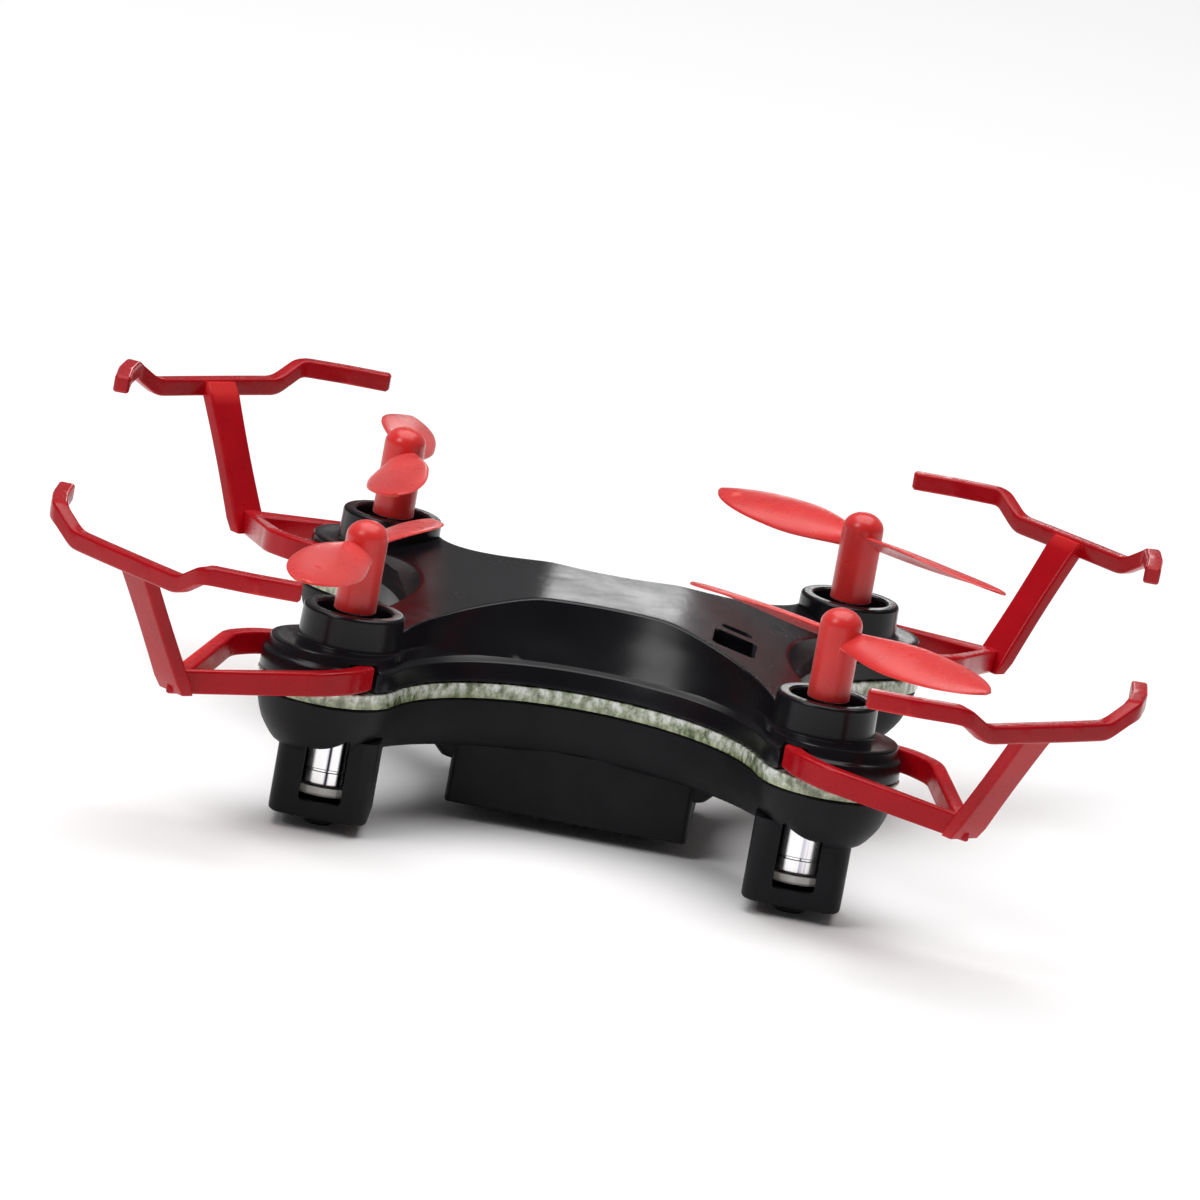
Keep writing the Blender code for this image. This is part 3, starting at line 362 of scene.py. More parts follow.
LOOKS = {
    "shell": moulded_black(),
    "shell_lower": moulded_black_lower(),
    "band": clear_band(),
    "guard": red_guard(),
    "prop": coral_prop(),
    "can": motor_steel(),
    "steel": plain_steel(),
    "board": solder_mask(),
}
for look, name, dark, light, rough, grain, depth, metallic in (
    ("dark_steel", "oxidised_steel", (0.05, 0.05, 0.055), (0.10, 0.10, 0.105),
     (0.4, 0.55), 3000, 0.00003, 1.0),
    ("nylon", "white_nylon", (0.60, 0.59, 0.55), (0.78, 0.77, 0.73),
     (0.4, 0.6), 3000, 0.00003, 0.0),
    ("foot", "black_plug", (0.010, 0.010, 0.012), (0.02, 0.02, 0.023),
     (0.4, 0.6), 4000, 0.00004, 0.0),
    ("chip", "epoxy_package", (0.012, 0.012, 0.013), (0.024, 0.024, 0.026),
     (0.35, 0.55), 5000, 0.00003, 0.0),
    ("led", "lamp_lens", (0.82, 0.82, 0.66), (0.95, 0.95, 0.85),
     (0.1, 0.25), 2500, 0.00002, 0.0),
    ("knob", "ribbed_knob", (0.016, 0.016, 0.018), (0.035, 0.035, 0.038),
     (0.35, 0.5), 4000, 0.00004, 0.0),
    ("pouch", "foil_pouch", (0.42, 0.43, 0.46), (0.68, 0.69, 0.72),
     (0.25, 0.45), 1200, 0.00006, 0.8),
    ("lead", "black_insulation", (0.012, 0.012, 0.012), (0.03, 0.03, 0.03),
     (0.35, 0.5), 3000, 0.00003, 0.0),
    ("lead_red", "red_insulation", (0.40, 0.012, 0.012), (0.55, 0.03, 0.025),
     (0.35, 0.5), 3000, 0.00003, 0.0),
):
    LOOKS[look] = tinted(name, dark, light, rough, grain, depth, metallic)


# ---- mesh helpers --------------------------------------------------------------
SHARP, SHARP_RED = 32, 40      # degrees; the red mouldings have softer edges


def shade(mesh, sharp):
    """Smooth shading, but for edges sharper than an angle in degrees."""
    mesh.shade_smooth()
    mesh.set_sharp_from_angle(angle=radians(sharp))


def to_object(name, bm, look=None):
    """Store a bmesh made in millimetres as a smooth-shaded object in metres."""
    bmesh.ops.recalc_face_normals(bm, faces=bm.faces)
    bmesh.ops.scale(bm, vec=(MM, MM, MM), verts=bm.verts)
    mesh = bpy.data.meshes.new(name)
    bm.to_mesh(mesh)
    bm.free()
    if look:
        mesh.materials.append(LOOKS[look])
    shade(mesh, SHARP)
    made = bpy.data.objects.new(name, mesh)
    bpy.context.scene.collection.objects.link(made)
    return made


def apply_modifiers(target):
    """Swap the target's mesh for the one that its modifiers make."""
    bpy.context.view_layer.update()
    evaluated = target.evaluated_get(bpy.context.evaluated_depsgraph_get())
    result = bpy.data.meshes.new_from_object(evaluated)
    target.modifiers.clear()
    old = target.data
    target.data = result
    bpy.data.meshes.remove(old)


def weigh_normals(target):
    """Let broad faces keep their own direction beside rounded edges."""
    step = target.modifiers.new("weigh", "WEIGHTED_NORMAL")
    step.keep_sharp = True
    apply_modifiers(target)


def finish_piece(made, body, node):
    """Ride a piece on its body in place of the CAD node it stands for."""
    weigh_normals(made)
    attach(made, body)
    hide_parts(node)


def skin(rings, capped=True, closed=False, bm=None):
    """Quads between rings of points; capped at the ends, or closed end to start."""
    bm = bm or bmesh.new()
    loops = [[bm.verts.new(p) for p in ring] for ring in rings]
    pairs = list(zip(loops, loops[1:]))
    if closed:
        pairs.append((loops[-1], loops[0]))
    for lower, upper in pairs:
        count = len(lower)
        for i in range(count):
            j = (i + 1) % count
            bm.faces.new((lower[i], lower[j], upper[j], upper[i]))
    if capped and not closed:
        caps = [bm.faces.new(list(reversed(loops[0]))), bm.faces.new(loops[-1])]
        bmesh.ops.triangulate(bm, faces=caps)
    return bm


def spine_skin(rings):
    """A skin whose first and last rings collapse onto the spine and are welded shut."""
    bm = skin(rings, capped=False)
    bmesh.ops.remove_doubles(bm, verts=bm.verts, dist=0.0005)
    return bm


def turned(profile, segments=48, centre=(0, 0), bm=None):
    """A solid of revolution; profile holds (radius, height) from the bottom up."""
    rings = []
    for radius, z in profile:
        angles = (2 * pi * i / segments for i in range(segments))
        rings.append([(centre[0] + radius * cos(a), centre[1] + radius * sin(a), z) for a in angles])
    return skin(rings, bm=bm)


def round_corner(corner, radius, quarter_from, steps=5):
    """Profile points of a quarter-round at (radius, height), from an angle in degrees."""
    r, z = corner
    points = []
    for i in range(steps + 1):
        a = radians(quarter_from + 90 * i / steps)
        points.append((r + radius * cos(a), z + radius * sin(a)))
    return points


def box(low, high, bm=None):
    """A plain box from two opposite corners."""
    plan = [(low[0], low[1]), (high[0], low[1]), (high[0], high[1]), (low[0], high[1])]
    return skin([[(x, y, z) for x, y in plan] for z in (low[2], high[2])], bm=bm)


def rounded_rect(half_x, half_y, corner, steps=6, centre=(0, 0)):
    """Plan points of a rectangle with round corners, anticlockwise."""
    points = []
    for quarter in range(4):
        cx = (half_x - corner) * (1 if quarter in (0, 3) else -1)
        cy = (half_y - corner) * (1 if quarter in (0, 1) else -1)
        for i in range(steps + 1):
            a = pi / 2 * (quarter + i / steps)
            points.append((centre[0] + cx + corner * cos(a), centre[1] + cy + corner * sin(a)))
    return points


def soft_block(half_x, half_y, low, high, corner, edge, centre=(0, 0), bm=None, round_top=True):
    """A box with round upright corners and rounded bottom and top edges."""
    rings, steps = [], 4
    for i in range(steps + 1):
        a = pi / 2 * i / steps
        inset, rise = edge * (1 - sin(a)), edge * (1 - cos(a))
        plan = rounded_rect(half_x - inset, half_y - inset, max(corner - inset, 0.02), centre=centre)
        rings.append([(x, y, low + rise) for x, y in plan])
    if round_top:
        for ring in reversed(list(rings)):
            rings.append([(x, y, low + high - z) for x, y, z in ring])
    else:
        plan = rounded_rect(half_x, half_y, corner, centre=centre)
        rings.append([(x, y, high) for x, y in plan])
    return skin(rings, bm=bm)


def boolean(target, tool_bm, operation):
    """Apply one exact Boolean with a solid made in millimetres, and weld its seams."""
    tool = to_object("tool", tool_bm)
    step = target.modifiers.new("cut", "BOOLEAN")
    step.operation = operation
    step.object = tool
    step.solver = "EXACT"
    apply_modifiers(target)
    bm = bmesh.new()
    bm.from_mesh(target.data)
    weld = 0.001 * MM
    bmesh.ops.remove_doubles(bm, verts=bm.verts, dist=weld)
    bmesh.ops.dissolve_degenerate(bm, edges=bm.edges, dist=weld)
    bm.to_mesh(target.data)
    bm.free()
    mesh = tool.data
    bpy.data.objects.remove(tool)
    bpy.data.meshes.remove(mesh)


def arc(cx, cy, radius, start, end, steps):
    """Points along an arc about (cx, cy), one row each."""
    angles = np.linspace(start, end, steps + 1)
    return np.column_stack((cx + radius * np.cos(angles), cy + radius * np.sin(angles)))


def waist_radius(pod, waist, c):
    """Radius of the concave arc tangent to two pods whose middle is at waist."""
    depth = c - waist
    return (c ** 2 + depth ** 2 - pod ** 2) / (2 * (pod + depth))


ARM_STEPS, POD_STEPS, SPINE_STEPS = 18, 32, 8
FORK_X = 9.0


def four_quadrants(quadrant):
    """Mirror the points of one quadrant, from the X axis to the Y axis, into all four."""
    flip = np.array((-1, 1))
    return np.vstack((quadrant[:-1], (quadrant[::-1] * flip)[:-1], (-quadrant)[:-1],
                      (quadrant[::-1] * -flip)[:-1]))


def body_outline(pod, waist_y, waist_x, c=POD_CENTRE):
    """Plan of the body: four round pods at (c, c) joined by four concave arcs."""
    end, side = waist_radius(pod, waist_x, c), waist_radius(pod, waist_y, c)
    end_c, side_c = waist_x + end, waist_y + side
    return four_quadrants(np.vstack((
        arc(end_c, 0, end, pi, atan2(c, c - end_c), ARM_STEPS)[:-1],
        arc(c, c, pod, atan2(-c, end_c - c), atan2(side_c - c, -c), POD_STEPS),
        arc(0, side_c, side, atan2(c - side_c, c), -pi / 2, ARM_STEPS + SPINE_STEPS)[1:],
    )))


def spine_points(c=POD_CENTRE):
    """For each outline point, its place on a spine that forks to the pods at (c, c)."""
    fork, pod = np.array((FORK_X, 0.0)), np.array((c, c))
    arm = [fork + (pod - fork) * i / ARM_STEPS for i in range(ARM_STEPS)]
    middle = [fork * (1 - i / SPINE_STEPS) for i in range(1, SPINE_STEPS + 1)]
    return four_quadrants(np.vstack((arm, [pod] * (POD_STEPS + 1), arm[::-1], middle)))


def crown_height(x):
    """Height of the top skin: level in the middle, easing into a slope."""
    past = np.maximum(np.abs(x) - CROWN_FLAT, 0.0)
    return np.maximum(CROWN_TOP - CROWN_SLOPE * past ** 2 / (past + CROWN_EASE), CROWN_LOWEST)


def level_outline(levels, z, c=POD_CENTRE):
    """Outline at each point's own height z, between the stated levels."""
    heights = [level[0] for level in levels]
    plans = [body_outline(*level[1:], c) for level in levels]
    z = np.broadcast_to(z, (len(plans[0]),))
    x = np.array([np.interp(z[i], heights, [p[i, 0] for p in plans]) for i in range(len(z))])
    y = np.array([np.interp(z[i], heights, [p[i, 1] for p in plans]) for i in range(len(z))])
    return np.column_stack((x, y)), z


def ring3(plan, z):
    """Lift plan points to a height, or to a height each."""
    z = np.broadcast_to(z, (len(plan),))
    return [(x, y, h) for (x, y), h in zip(plan, z)]


# ---- upper shell ---------------------------------------------------------------
# Levels: height, then pod radius, waist half width along Y and waist half length along X.
SKIRT_LEVELS = (
    (BAND_TOP + SEAM, *BAND_PLAN),
    (LEDGE_Z, 5.3, 9.3, 15.3),
    (LEDGE_Z + 0.25, 4.95, 8.4, 14.7),
    (FLANGE_Z, 4.85, 7.6, 14.2),
)
DECK_LEVELS = (
    (LEDGE_Z - 0.4, 3.75, 8.7, 15.0),
    (LEDGE_Z + 0.25, 3.75, 8.55, 14.8),
    (COLLAR_TOP - 1.2, 3.75, 7.0, 14.3),
    (COLLAR_TOP + 1.4, 3.75, 5.8, 13.9),
)
LOWER_LEVELS = (
    (FLOOR_BOTTOM, 3.0, 8.0, 13.0),
    (FLOOR_BOTTOM + 0.5, 3.7, 8.7, 13.8),
    (COLLAR_TOP - 8.2, 4.85, 9.5, 15.1),
    (BAND_BOTTOM - SEAM, 5.25, 9.7, 15.4),
)


def shrink(levels, amount):
    """The same levels with every plan size smaller by an amount."""
    return tuple((z, pod - amount, wy - amount, wx - amount) for z, pod, wy, wx in levels)


def toward_spine(plan, share, c=POD_CENTRE):
    """Plan points moved a share of the way to the spine."""
    return plan + (spine_points(c) - plan) * share


def skirt_surface():
    """The pods' skirt: flange on top, ledge, lower wall, rim and the hollow inside."""
    rings = []
    top = SKIRT_LEVELS[-1]
    edge = body_outline(*shrink((top,), 0.16)[0][1:])
    for share in (1, 0.6, 0.3, 0.08, 0):
        rings.append(ring3(toward_spine(edge, share), FLANGE_Z))
    for z, *sizes in (
        (FLANGE_Z - 0.03, 4.79, 7.54, 14.14), (FLANGE_Z - 0.1, 4.84, 7.6, 14.2),
        (FLANGE_Z - 0.2, 4.86, 7.7, 14.26), (LEDGE_Z + 0.33, 4.94, 8.3, 14.64),
        (LEDGE_Z + 0.24, 4.98, 8.48, 14.74), (LEDGE_Z + 0.14, 5.12, 8.8, 14.95),
        (LEDGE_Z + 0.05, 5.24, 9.12, 15.18), (LEDGE_Z, 5.285, 9.26, 15.27),
        (LEDGE_Z - 0.06, 5.3, 9.32, 15.31), (LEDGE_Z - 0.8, 5.3, 9.58, 15.41),
        (BAND_TOP + SEAM + 0.12, 5.3, 9.78, 15.49), (BAND_TOP + SEAM, 5.2, 9.68, 15.39),
    ):
        rings.append(ring3(body_outline(*sizes), z))
    inner = shrink(SKIRT_LEVELS, WALL)
    roof = FLANGE_Z - WALL
    for (_, *sizes), z in zip(inner, (BAND_TOP + SEAM, LEDGE_Z, roof)):
        rings.append(ring3(body_outline(*sizes), z))
    last = body_outline(*inner[2][1:])
    for share in (0.1, 0.4, 1):
        rings.append(ring3(toward_spine(last, share), roof))
    return spine_skin(rings)


def deck_surface(inset):
    """The raised middle under the top skin, or, with an inset, the hollow in it."""
    levels = shrink(DECK_LEVELS, inset)
    z = np.full(len(spine_points()), COLLAR_TOP)
    # The wall leans, so its top edge is stepped toward the crown until the two meet.
    for _ in range(24):
        plan, _ = level_outline(levels, z, HALF_SPAN)
        z = 0.5 * z + 0.5 * (crown_height(plan[:, 0]) - inset)
    low = levels[0][0]
    rings = []
    for share in (1, 0.5, 0.1, 0):
        rings.append(ring3(toward_spine(body_outline(*levels[0][1:], HALF_SPAN), share, HALF_SPAN), low))
    for rise in (0.12, 0.22, 0.35, 0.5, 0.65, 0.78, 0.88, 0.94, 0.975):
        wall, wall_z = level_outline(levels, low + (z - low) * rise, HALF_SPAN)
        rings.append(ring3(wall, wall_z))
    for share, drop in ((0.012, 0.055), (0.024, 0.028), (0.04, 0.008), (0.06, 0.0)):
        top = toward_spine(plan, share, HALF_SPAN)
        rings.append(ring3(top, crown_height(top[:, 0]) - inset - drop))
    for share in np.linspace(0.1, 1, 16):
        top = toward_spine(plan, share, HALF_SPAN)
        rings.append(ring3(top, crown_height(top[:, 0]) - inset))
    return spine_skin(rings)


def collar(centre, bm):
    """The round wall on a pod, with a small fillet at its foot."""
    profile = [(COLLAR_RADIUS + 0.45, FLANGE_Z - 0.5), (COLLAR_RADIUS + 0.45, FLANGE_Z)]
    profile += [(COLLAR_RADIUS + 0.16, FLANGE_Z + 0.06), (COLLAR_RADIUS + 0.05, FLANGE_Z + 0.3)]
    profile += round_corner((COLLAR_RADIUS - COLLAR_EDGE, COLLAR_TOP - COLLAR_EDGE), COLLAR_EDGE, 0)
    turned(profile, 64, centre, bm)


def collar_bore(centre, bm):
    """The motor's seat, and the narrower mouth above it."""
    profile = [(MOTOR_SEAT, BAND_TOP - 2), (MOTOR_SEAT, MOTOR_TOP + 0.3), (COLLAR_MOUTH, MOTOR_TOP + 0.3),
               (COLLAR_MOUTH, COLLAR_TOP - 0.3), (COLLAR_MOUTH + 0.06, COLLAR_TOP - 0.12),
               (COLLAR_MOUTH + 0.2, COLLAR_TOP - 0.02), (COLLAR_MOUTH + 0.5, COLLAR_TOP + 0.2)]
    turned(profile, 64, centre, bm)


def hole_block(low, high, corner, bm):
    """An upright rounded hole from two opposite corners."""
    centre = ((low[0] + high[0]) / 2, (low[1] + high[1]) / 2)
    half_x, half_y = high[0] - centre[0], high[1] - centre[1]
    plan = rounded_rect(half_x, half_y, corner, centre=centre)
    skin([[(x, y, z) for x, y in plan] for z in (low[2], high[2])], bm=bm)


def pocket_walls():
    """The block under the top skin that the switch's pocket is sunk into."""
    (x0, y0), (x1, y1) = POCKET_LOW, POCKET_HIGH
    x0, y0 = x0 - POCKET_WALL, y0 - POCKET_WALL
    x1, y1 = x1 + POCKET_WALL, y1 + POCKET_WALL
    plan = [(x0, y0), (x1, y0), (x1, y1), (x0, y1)]
    floor = [(x, y, POCKET_FLOOR - POCKET_WALL) for x, y in plan]
    roof = [(x, y, float(crown_height(x)) - WALL / 2) for x, y in plan]
    return skin([floor, roof])


def make_upper_shell():
    """Skirt, raised middle, collars, screw posts, and the pocket and vent on top."""
    shell = to_object("upper_shell_skin", skirt_surface(), "shell")
    boolean(shell, deck_surface(0), "UNION")
    boolean(shell, deck_surface(WALL), "DIFFERENCE")
    posts, bores, slots = bmesh.new(), bmesh.new(), bmesh.new()
    boss_top = float(crown_height(BOSS_X)) - WALL / 2
    for sx, sy in CORNERS.values():
        motor, boss = (sx * HALF_SPAN, sy * HALF_SPAN), (sx * BOSS_X, sy * BOSS_Y)
        collar(motor, posts)
        collar_bore(motor, bores)
        turned([(BOSS_RADIUS, FLOOR_TOP + FIT), (BOSS_RADIUS, boss_top)], 24, boss, posts)
        turned([(PILOT_RADIUS, FLOOR_TOP), (PILOT_RADIUS, FLOOR_TOP + PILOT_DEPTH)], 16, boss, bores)
    boolean(shell, posts, "UNION")
    boolean(shell, pocket_walls(), "UNION")
    boolean(shell, bores, "DIFFERENCE")
    for low, high in ((POCKET_LOW, POCKET_HIGH), (VENT_LOW, VENT_HIGH)):
        hole_block((*low, POCKET_FLOOR), (*high, CROWN_TOP + 1), 0.5, slots)
    boolean(shell, slots, "DIFFERENCE")
    slots = bmesh.new()
    for corner in CORNERS:
        for side in (0, 1):
            strut_slot(corner, side, slots)
    switch_x, switch_y = (sum(pair) / 2 for pair in zip(POCKET_LOW, POCKET_HIGH))
    half_x, half_y = SWITCH_SLOT
    hole_block((switch_x - half_x, switch_y - half_y, POCKET_FLOOR - 1),
               (switch_x + half_x, switch_y + half_y, POCKET_FLOOR + 1), 0.3, slots)
    boolean(shell, slots, "DIFFERENCE")
    shade(shell.data, SHARP)
    finish_piece(shell, "root", "upper_shell")


# ---- lower shell ---------------------------------------------------------------
def lower_shell_surface():
    """Belly, side wall, rim and the hollow inside, as one closed skin."""
    rings = []
    start = body_outline(*LOWER_LEVELS[0][1:])
    for share in (1, 0.6, 0.3, 0.1, 0.03):
        rings.append(ring3(toward_spine(start, share), FLOOR_BOTTOM))
    for z, *sizes in (
        (FLOOR_BOTTOM + 0.05, 3.2, 8.22, 13.25), (FLOOR_BOTTOM + 0.2, 3.45, 8.5, 13.55),
        (FLOOR_BOTTOM + 0.5, 3.75, 8.78, 13.9), (FLOOR_BOTTOM + 1.1, 4.2, 9.1, 14.4),
        (COLLAR_TOP - 9.0, 4.52, 9.32, 14.78), (COLLAR_TOP - 8.2, 4.85, 9.5, 15.1),
        (COLLAR_TOP - 7.3, 5.1, 9.62, 15.28), (BAND_BOTTOM - SEAM - 0.12, 5.25, 9.69, 15.39),
        (BAND_BOTTOM - SEAM, 5.16, 9.6, 15.3),
    ):
        rings.append(ring3(body_outline(*sizes), z))
    inner = shrink(LOWER_LEVELS, WALL)
    for z in (BAND_BOTTOM - SEAM, COLLAR_TOP - 8.2):
        plan, _ = level_outline(inner, z)
        rings.append(ring3(plan, z))
    floor = body_outline(3.3, 8.0, 13.0)
    for share in (0, 0.3, 0.6, 1):
        rings.append(ring3(toward_spine(floor, share), FLOOR_TOP))
    return spine_skin(rings)


def shoulder():
    """The step that carries the battery box: wide at the belly, narrower below."""
    rings = []
    for z, half_x, half_y in (
        (-1.6, 9.9, 8.3), (-1.5, 10.15, 8.42), (-1.25, 10.4, 8.5),
        (-0.9, 10.75, 8.5), (-0.4, 11.4, 8.5), (0.2, 12.0, 8.5),
    ):
        rings.append(ring3(rounded_rect(half_x, half_y, 0.7), FLOOR_BOTTOM + z))
    return skin(rings)


def battery_bay(shell):
    """Hollow the battery box, and cut the door's grooves and its way out along +X."""
    low, high = BOX_BOTTOM - 1, DOOR_Z[1] + FIT
    out = BOX_HALF_X + 1
    for start, end in (
        ((-BAY_HALF_X, -BAY_HALF_Y, low), (BAY_HALF_X, BAY_HALF_Y, FLOOR_BOTTOM)),
        ((-BAY_HALF_X, -GROOVE_HALF_Y, DOOR_Z[0] - FIT), (out, GROOVE_HALF_Y, high)),
        ((BAY_HALF_X - 0.6, -BAY_HALF_Y, low), (out, BAY_HALF_Y, high)),
    ):
        boolean(shell, box(start, end), "DIFFERENCE")


def leg_window(mx, my, sy, bm):
    """The upright opening in the outer face of a leg whose motor axis is at (mx, my)."""
    mid_z, half_z = sum(WINDOW_Z) / 2, (WINDOW_Z[1] - WINDOW_Z[0]) / 2
    plan = [(mx + x, mid_z + z) for x, z in rounded_rect(WINDOW_HALF, half_z, 0.3)]
    near, far = my + sy * WINDOW_INNER, my + sy * (LEG_HALF + 1)
    skin([[(x, y, z) for x, z in plan] for y in (near, far)], bm=bm)


def make_lower_shell():
    """Belly, legs and battery box, with every bore, window and gully cut."""
    shell = to_object("lower_shell_skin", lower_shell_surface(), "shell_lower")
    legs = bmesh.new()
    for sx, sy in CORNERS.values():
        soft_block(LEG_HALF, LEG_HALF, LEG_BOTTOM, FLOOR_TOP + 0.5, 1.2, 0.35,
                   (sx * HALF_SPAN, sy * HALF_SPAN), bm=legs, round_top=False)
    boolean(shell, legs, "UNION")
    boolean(shell, shoulder(), "UNION")
    tray = soft_block(BOX_HALF_X, BOX_HALF_Y, BOX_BOTTOM, FLOOR_BOTTOM + 0.4, 0.5, 0.22, round_top=False)
    boolean(shell, tray, "UNION")
    battery_bay(shell)

    lead_hole = (-8.2, -1.2, FLOOR_BOTTOM - 1), (-6.9, 1.2, FLOOR_TOP + 1)
    bores = box(*lead_hole)
    windows = bmesh.new()
    gully = GULLY / 2 ** 0.5
    sunk = FLOOR_BOTTOM + SINK_DEPTH
    hole = [(SINK_RADIUS, FLOOR_BOTTOM - 1), (SINK_RADIUS, sunk), (PILOT_RADIUS, sunk),
            (PILOT_RADIUS, FLOOR_TOP + 1)]
    for sx, sy in CORNERS.values():
        mx, my = sx * HALF_SPAN, sy * HALF_SPAN
        turned([(MOTOR_SEAT, LEG_BOTTOM - 1), (MOTOR_SEAT, FLOOR_TOP + 2)], 56, (mx, my), bores)
        turned(hole, 28, (sx * BOSS_X, sy * BOSS_Y), bores)
        leg_window(mx, my, sy, windows)
        turned([(GULLY_RADIUS, LEG_BOTTOM + 0.8), (GULLY_RADIUS, FLOOR_TOP + 2)], 14,
               (mx - sx * gully, my - sy * gully), windows)
    boolean(shell, bores, "DIFFERENCE")
    boolean(shell, windows, "DIFFERENCE")
    shade(shell.data, SHARP)
    finish_piece(shell, "root", "lower_shell")


# ---- light band ----------------------------------------------------------------
def make_light_band():
    """A flat ring clamped between the shells, with rounded outer edges."""
    outside = [value + BAND_PROUD for value in BAND_PLAN]
    inner, eased = BAND_DEEP + BAND_PROUD, 0.3 * BAND_EDGE
    rings = []
    for z, inset in (
        (BAND_BOTTOM, inner), (BAND_BOTTOM, BAND_EDGE),
        (BAND_BOTTOM + eased, eased), (BAND_BOTTOM + BAND_EDGE, 0),
        (BAND_TOP - BAND_EDGE, 0), (BAND_TOP - eased, eased),
        (BAND_TOP, BAND_EDGE), (BAND_TOP, inner),
    ):
        rings.append(ring3(body_outline(*(value - inset for value in outside)), z))
    band = to_object("light_band_ring", skin(rings, closed=True), "band")
    finish_piece(band, "root", "light_band")


# ---- battery door --------------------------------------------------------------
def make_battery_door():
    """A plate with a thin tongue along each side and three thumb ridges beneath."""
    back = FIT - BAY_HALF_X
    mid, half = (BOX_HALF_X + back) / 2, (BOX_HALF_X - back) / 2
    plate = soft_block(half, BAY_HALF_Y - FIT, BOX_BOTTOM, DOOR_Z[1], 0.3, 0.12, (mid, 0))
    door = to_object("battery_door_plate", plate, "shell_lower")
    tongues = box((back, FIT - GROOVE_HALF_Y, DOOR_Z[0]),
                  (BOX_HALF_X - 0.1, GROOVE_HALF_Y - FIT, DOOR_Z[1] - 0.05))
    boolean(door, tongues, "UNION")
    ridges = bmesh.new()
    for ridge in range(3):
        soft_block(0.2, 2.2, BOX_BOTTOM - RIDGE_DROP, BOX_BOTTOM + 0.2, 0.15, 0.12,
                   (RIDGE_FROM + RIDGE_PITCH * ridge, 0), bm=ridges, round_top=False)
    boolean(door, ridges, "UNION")
    shade(door.data, SHARP)
    finish_piece(door, "door", "battery_door")


# ---- motors and feet -----------------------------------------------------------
def make_motor(corner):
    """A crimped can with a groove low on its wall, and the plug that closes its leg."""
    sx, sy = CORNERS[corner]
    centre = (sx * HALF_SPAN, sy * HALF_SPAN)
    shoulder_radius = MOTOR_RADIUS - MOTOR_CRIMP
    profile = [(MOTOR_RADIUS - 0.5, MOTOR_LOW)]
    profile += round_corner((shoulder_radius, MOTOR_LOW + MOTOR_CRIMP), MOTOR_CRIMP, -90)
    profile += [(MOTOR_RADIUS, MOTOR_LOW + 1.1), (MOTOR_RADIUS - 0.06, MOTOR_LOW + 1.16),
                (MOTOR_RADIUS - 0.06, MOTOR_LOW + 1.3), (MOTOR_RADIUS, MOTOR_LOW + 1.36)]
    profile += round_corner((shoulder_radius, MOTOR_TOP - MOTOR_CRIMP), MOTOR_CRIMP, 0)
    profile += [(1.5, MOTOR_TOP), (1.4, MOTOR_TOP - 0.12), (1.0, MOTOR_TOP - 0.12), (0.95, MOTOR_TOP)]
    can = to_object(f"motor_body_{corner}", turned(profile, 64, centre), "can")
    bore = turned([(SHAFT_BORE, MOTOR_TOP - 3.2), (SHAFT_BORE, MOTOR_TOP + 1)], 24, centre)
    boolean(can, bore, "DIFFERENCE")
    shade(can.data, SHARP)
    finish_piece(can, "root", f"motor_can_{corner}")
    plug = MOTOR_RADIUS - FIT / 2
    profile = round_corner((0.95, 0.15), 0.15, -90)
    profile += [(1.1, LEG_BOTTOM - 0.25), (1.25, LEG_BOTTOM - 0.06)]
    profile += [(plug - 0.15, LEG_BOTTOM), (plug, LEG_BOTTOM + 0.12), (plug, LEG_BOTTOM + 0.7)]
    foot = to_object(f"foot_plug_{corner}", turned(profile, 40, centre), "foot")
    finish_piece(foot, "root", f"foot_{corner}")


# ---- propellers ----------------------------------------------------------------
ROOT_CHORD, CHORD_GAIN = 2.2, 2.6
ROOT_PITCH, TWIST = 29, 18                          # degrees
ROOT_THICK, THINNING = 0.62, 0.3
CAMBER = 0.05                                       # share of the chord
# Shares of a blade's length: where its chord is full, where it starts to narrow to a
# round tip, how long the tip is, and where the last section is taken.
CHORD_FULL, TIP_FROM, TIP_RUN, TIP_END = 0.5, 0.55, 0.455, 0.996


def blade_section(reach):
    """Chord and pitch at a share of the blade's length from its root."""
    grow = sin(min(reach / CHORD_FULL, 1.0) * pi / 2)
    chord = ROOT_CHORD + CHORD_GAIN * grow ** 1.4
    if reach > TIP_FROM:
        chord *= max(1 - ((reach - TIP_FROM) / TIP_RUN) ** 2.4, 0.0) ** 0.6
    return chord, radians(ROOT_PITCH - TWIST * reach)


def blade(turn, hand):
    """Stacked aerofoil sections, closer together toward the tip and flatter beneath."""
    sections, around = 40, 28
    rings = []
    for i in range(sections):
        reach = 1 - (1 - i / (sections - 1)) ** 1.5
        chord, pitch = blade_section(min(reach, TIP_END))
        thick = ROOT_THICK - THINNING * reach
        span = BLADE_ROOT + (BLADE_TIP - BLADE_ROOT) * reach
        ring = []
        for k in range(around):
            a = 2 * pi * k / around
            along = 0.5 * cos(a)
            up = 0.5 * thick * (abs(sin(a)) ** 0.8) * (1 if sin(a) > 0 else -0.8)
            across = along * chord
            lift = up + 0.25 * thick + CAMBER * chord * (1 - 4 * along ** 2)
            ring.append((span, hand * (across * cos(pitch) - lift * sin(pitch)),
                         BLADE_Z + across * sin(pitch) + lift * cos(pitch)))
        rings.append(ring)
    made = skin(rings)
    bmesh.ops.rotate(made, matrix=Matrix.Rotation(turn, 3, "Z"), verts=made.verts)
    return made


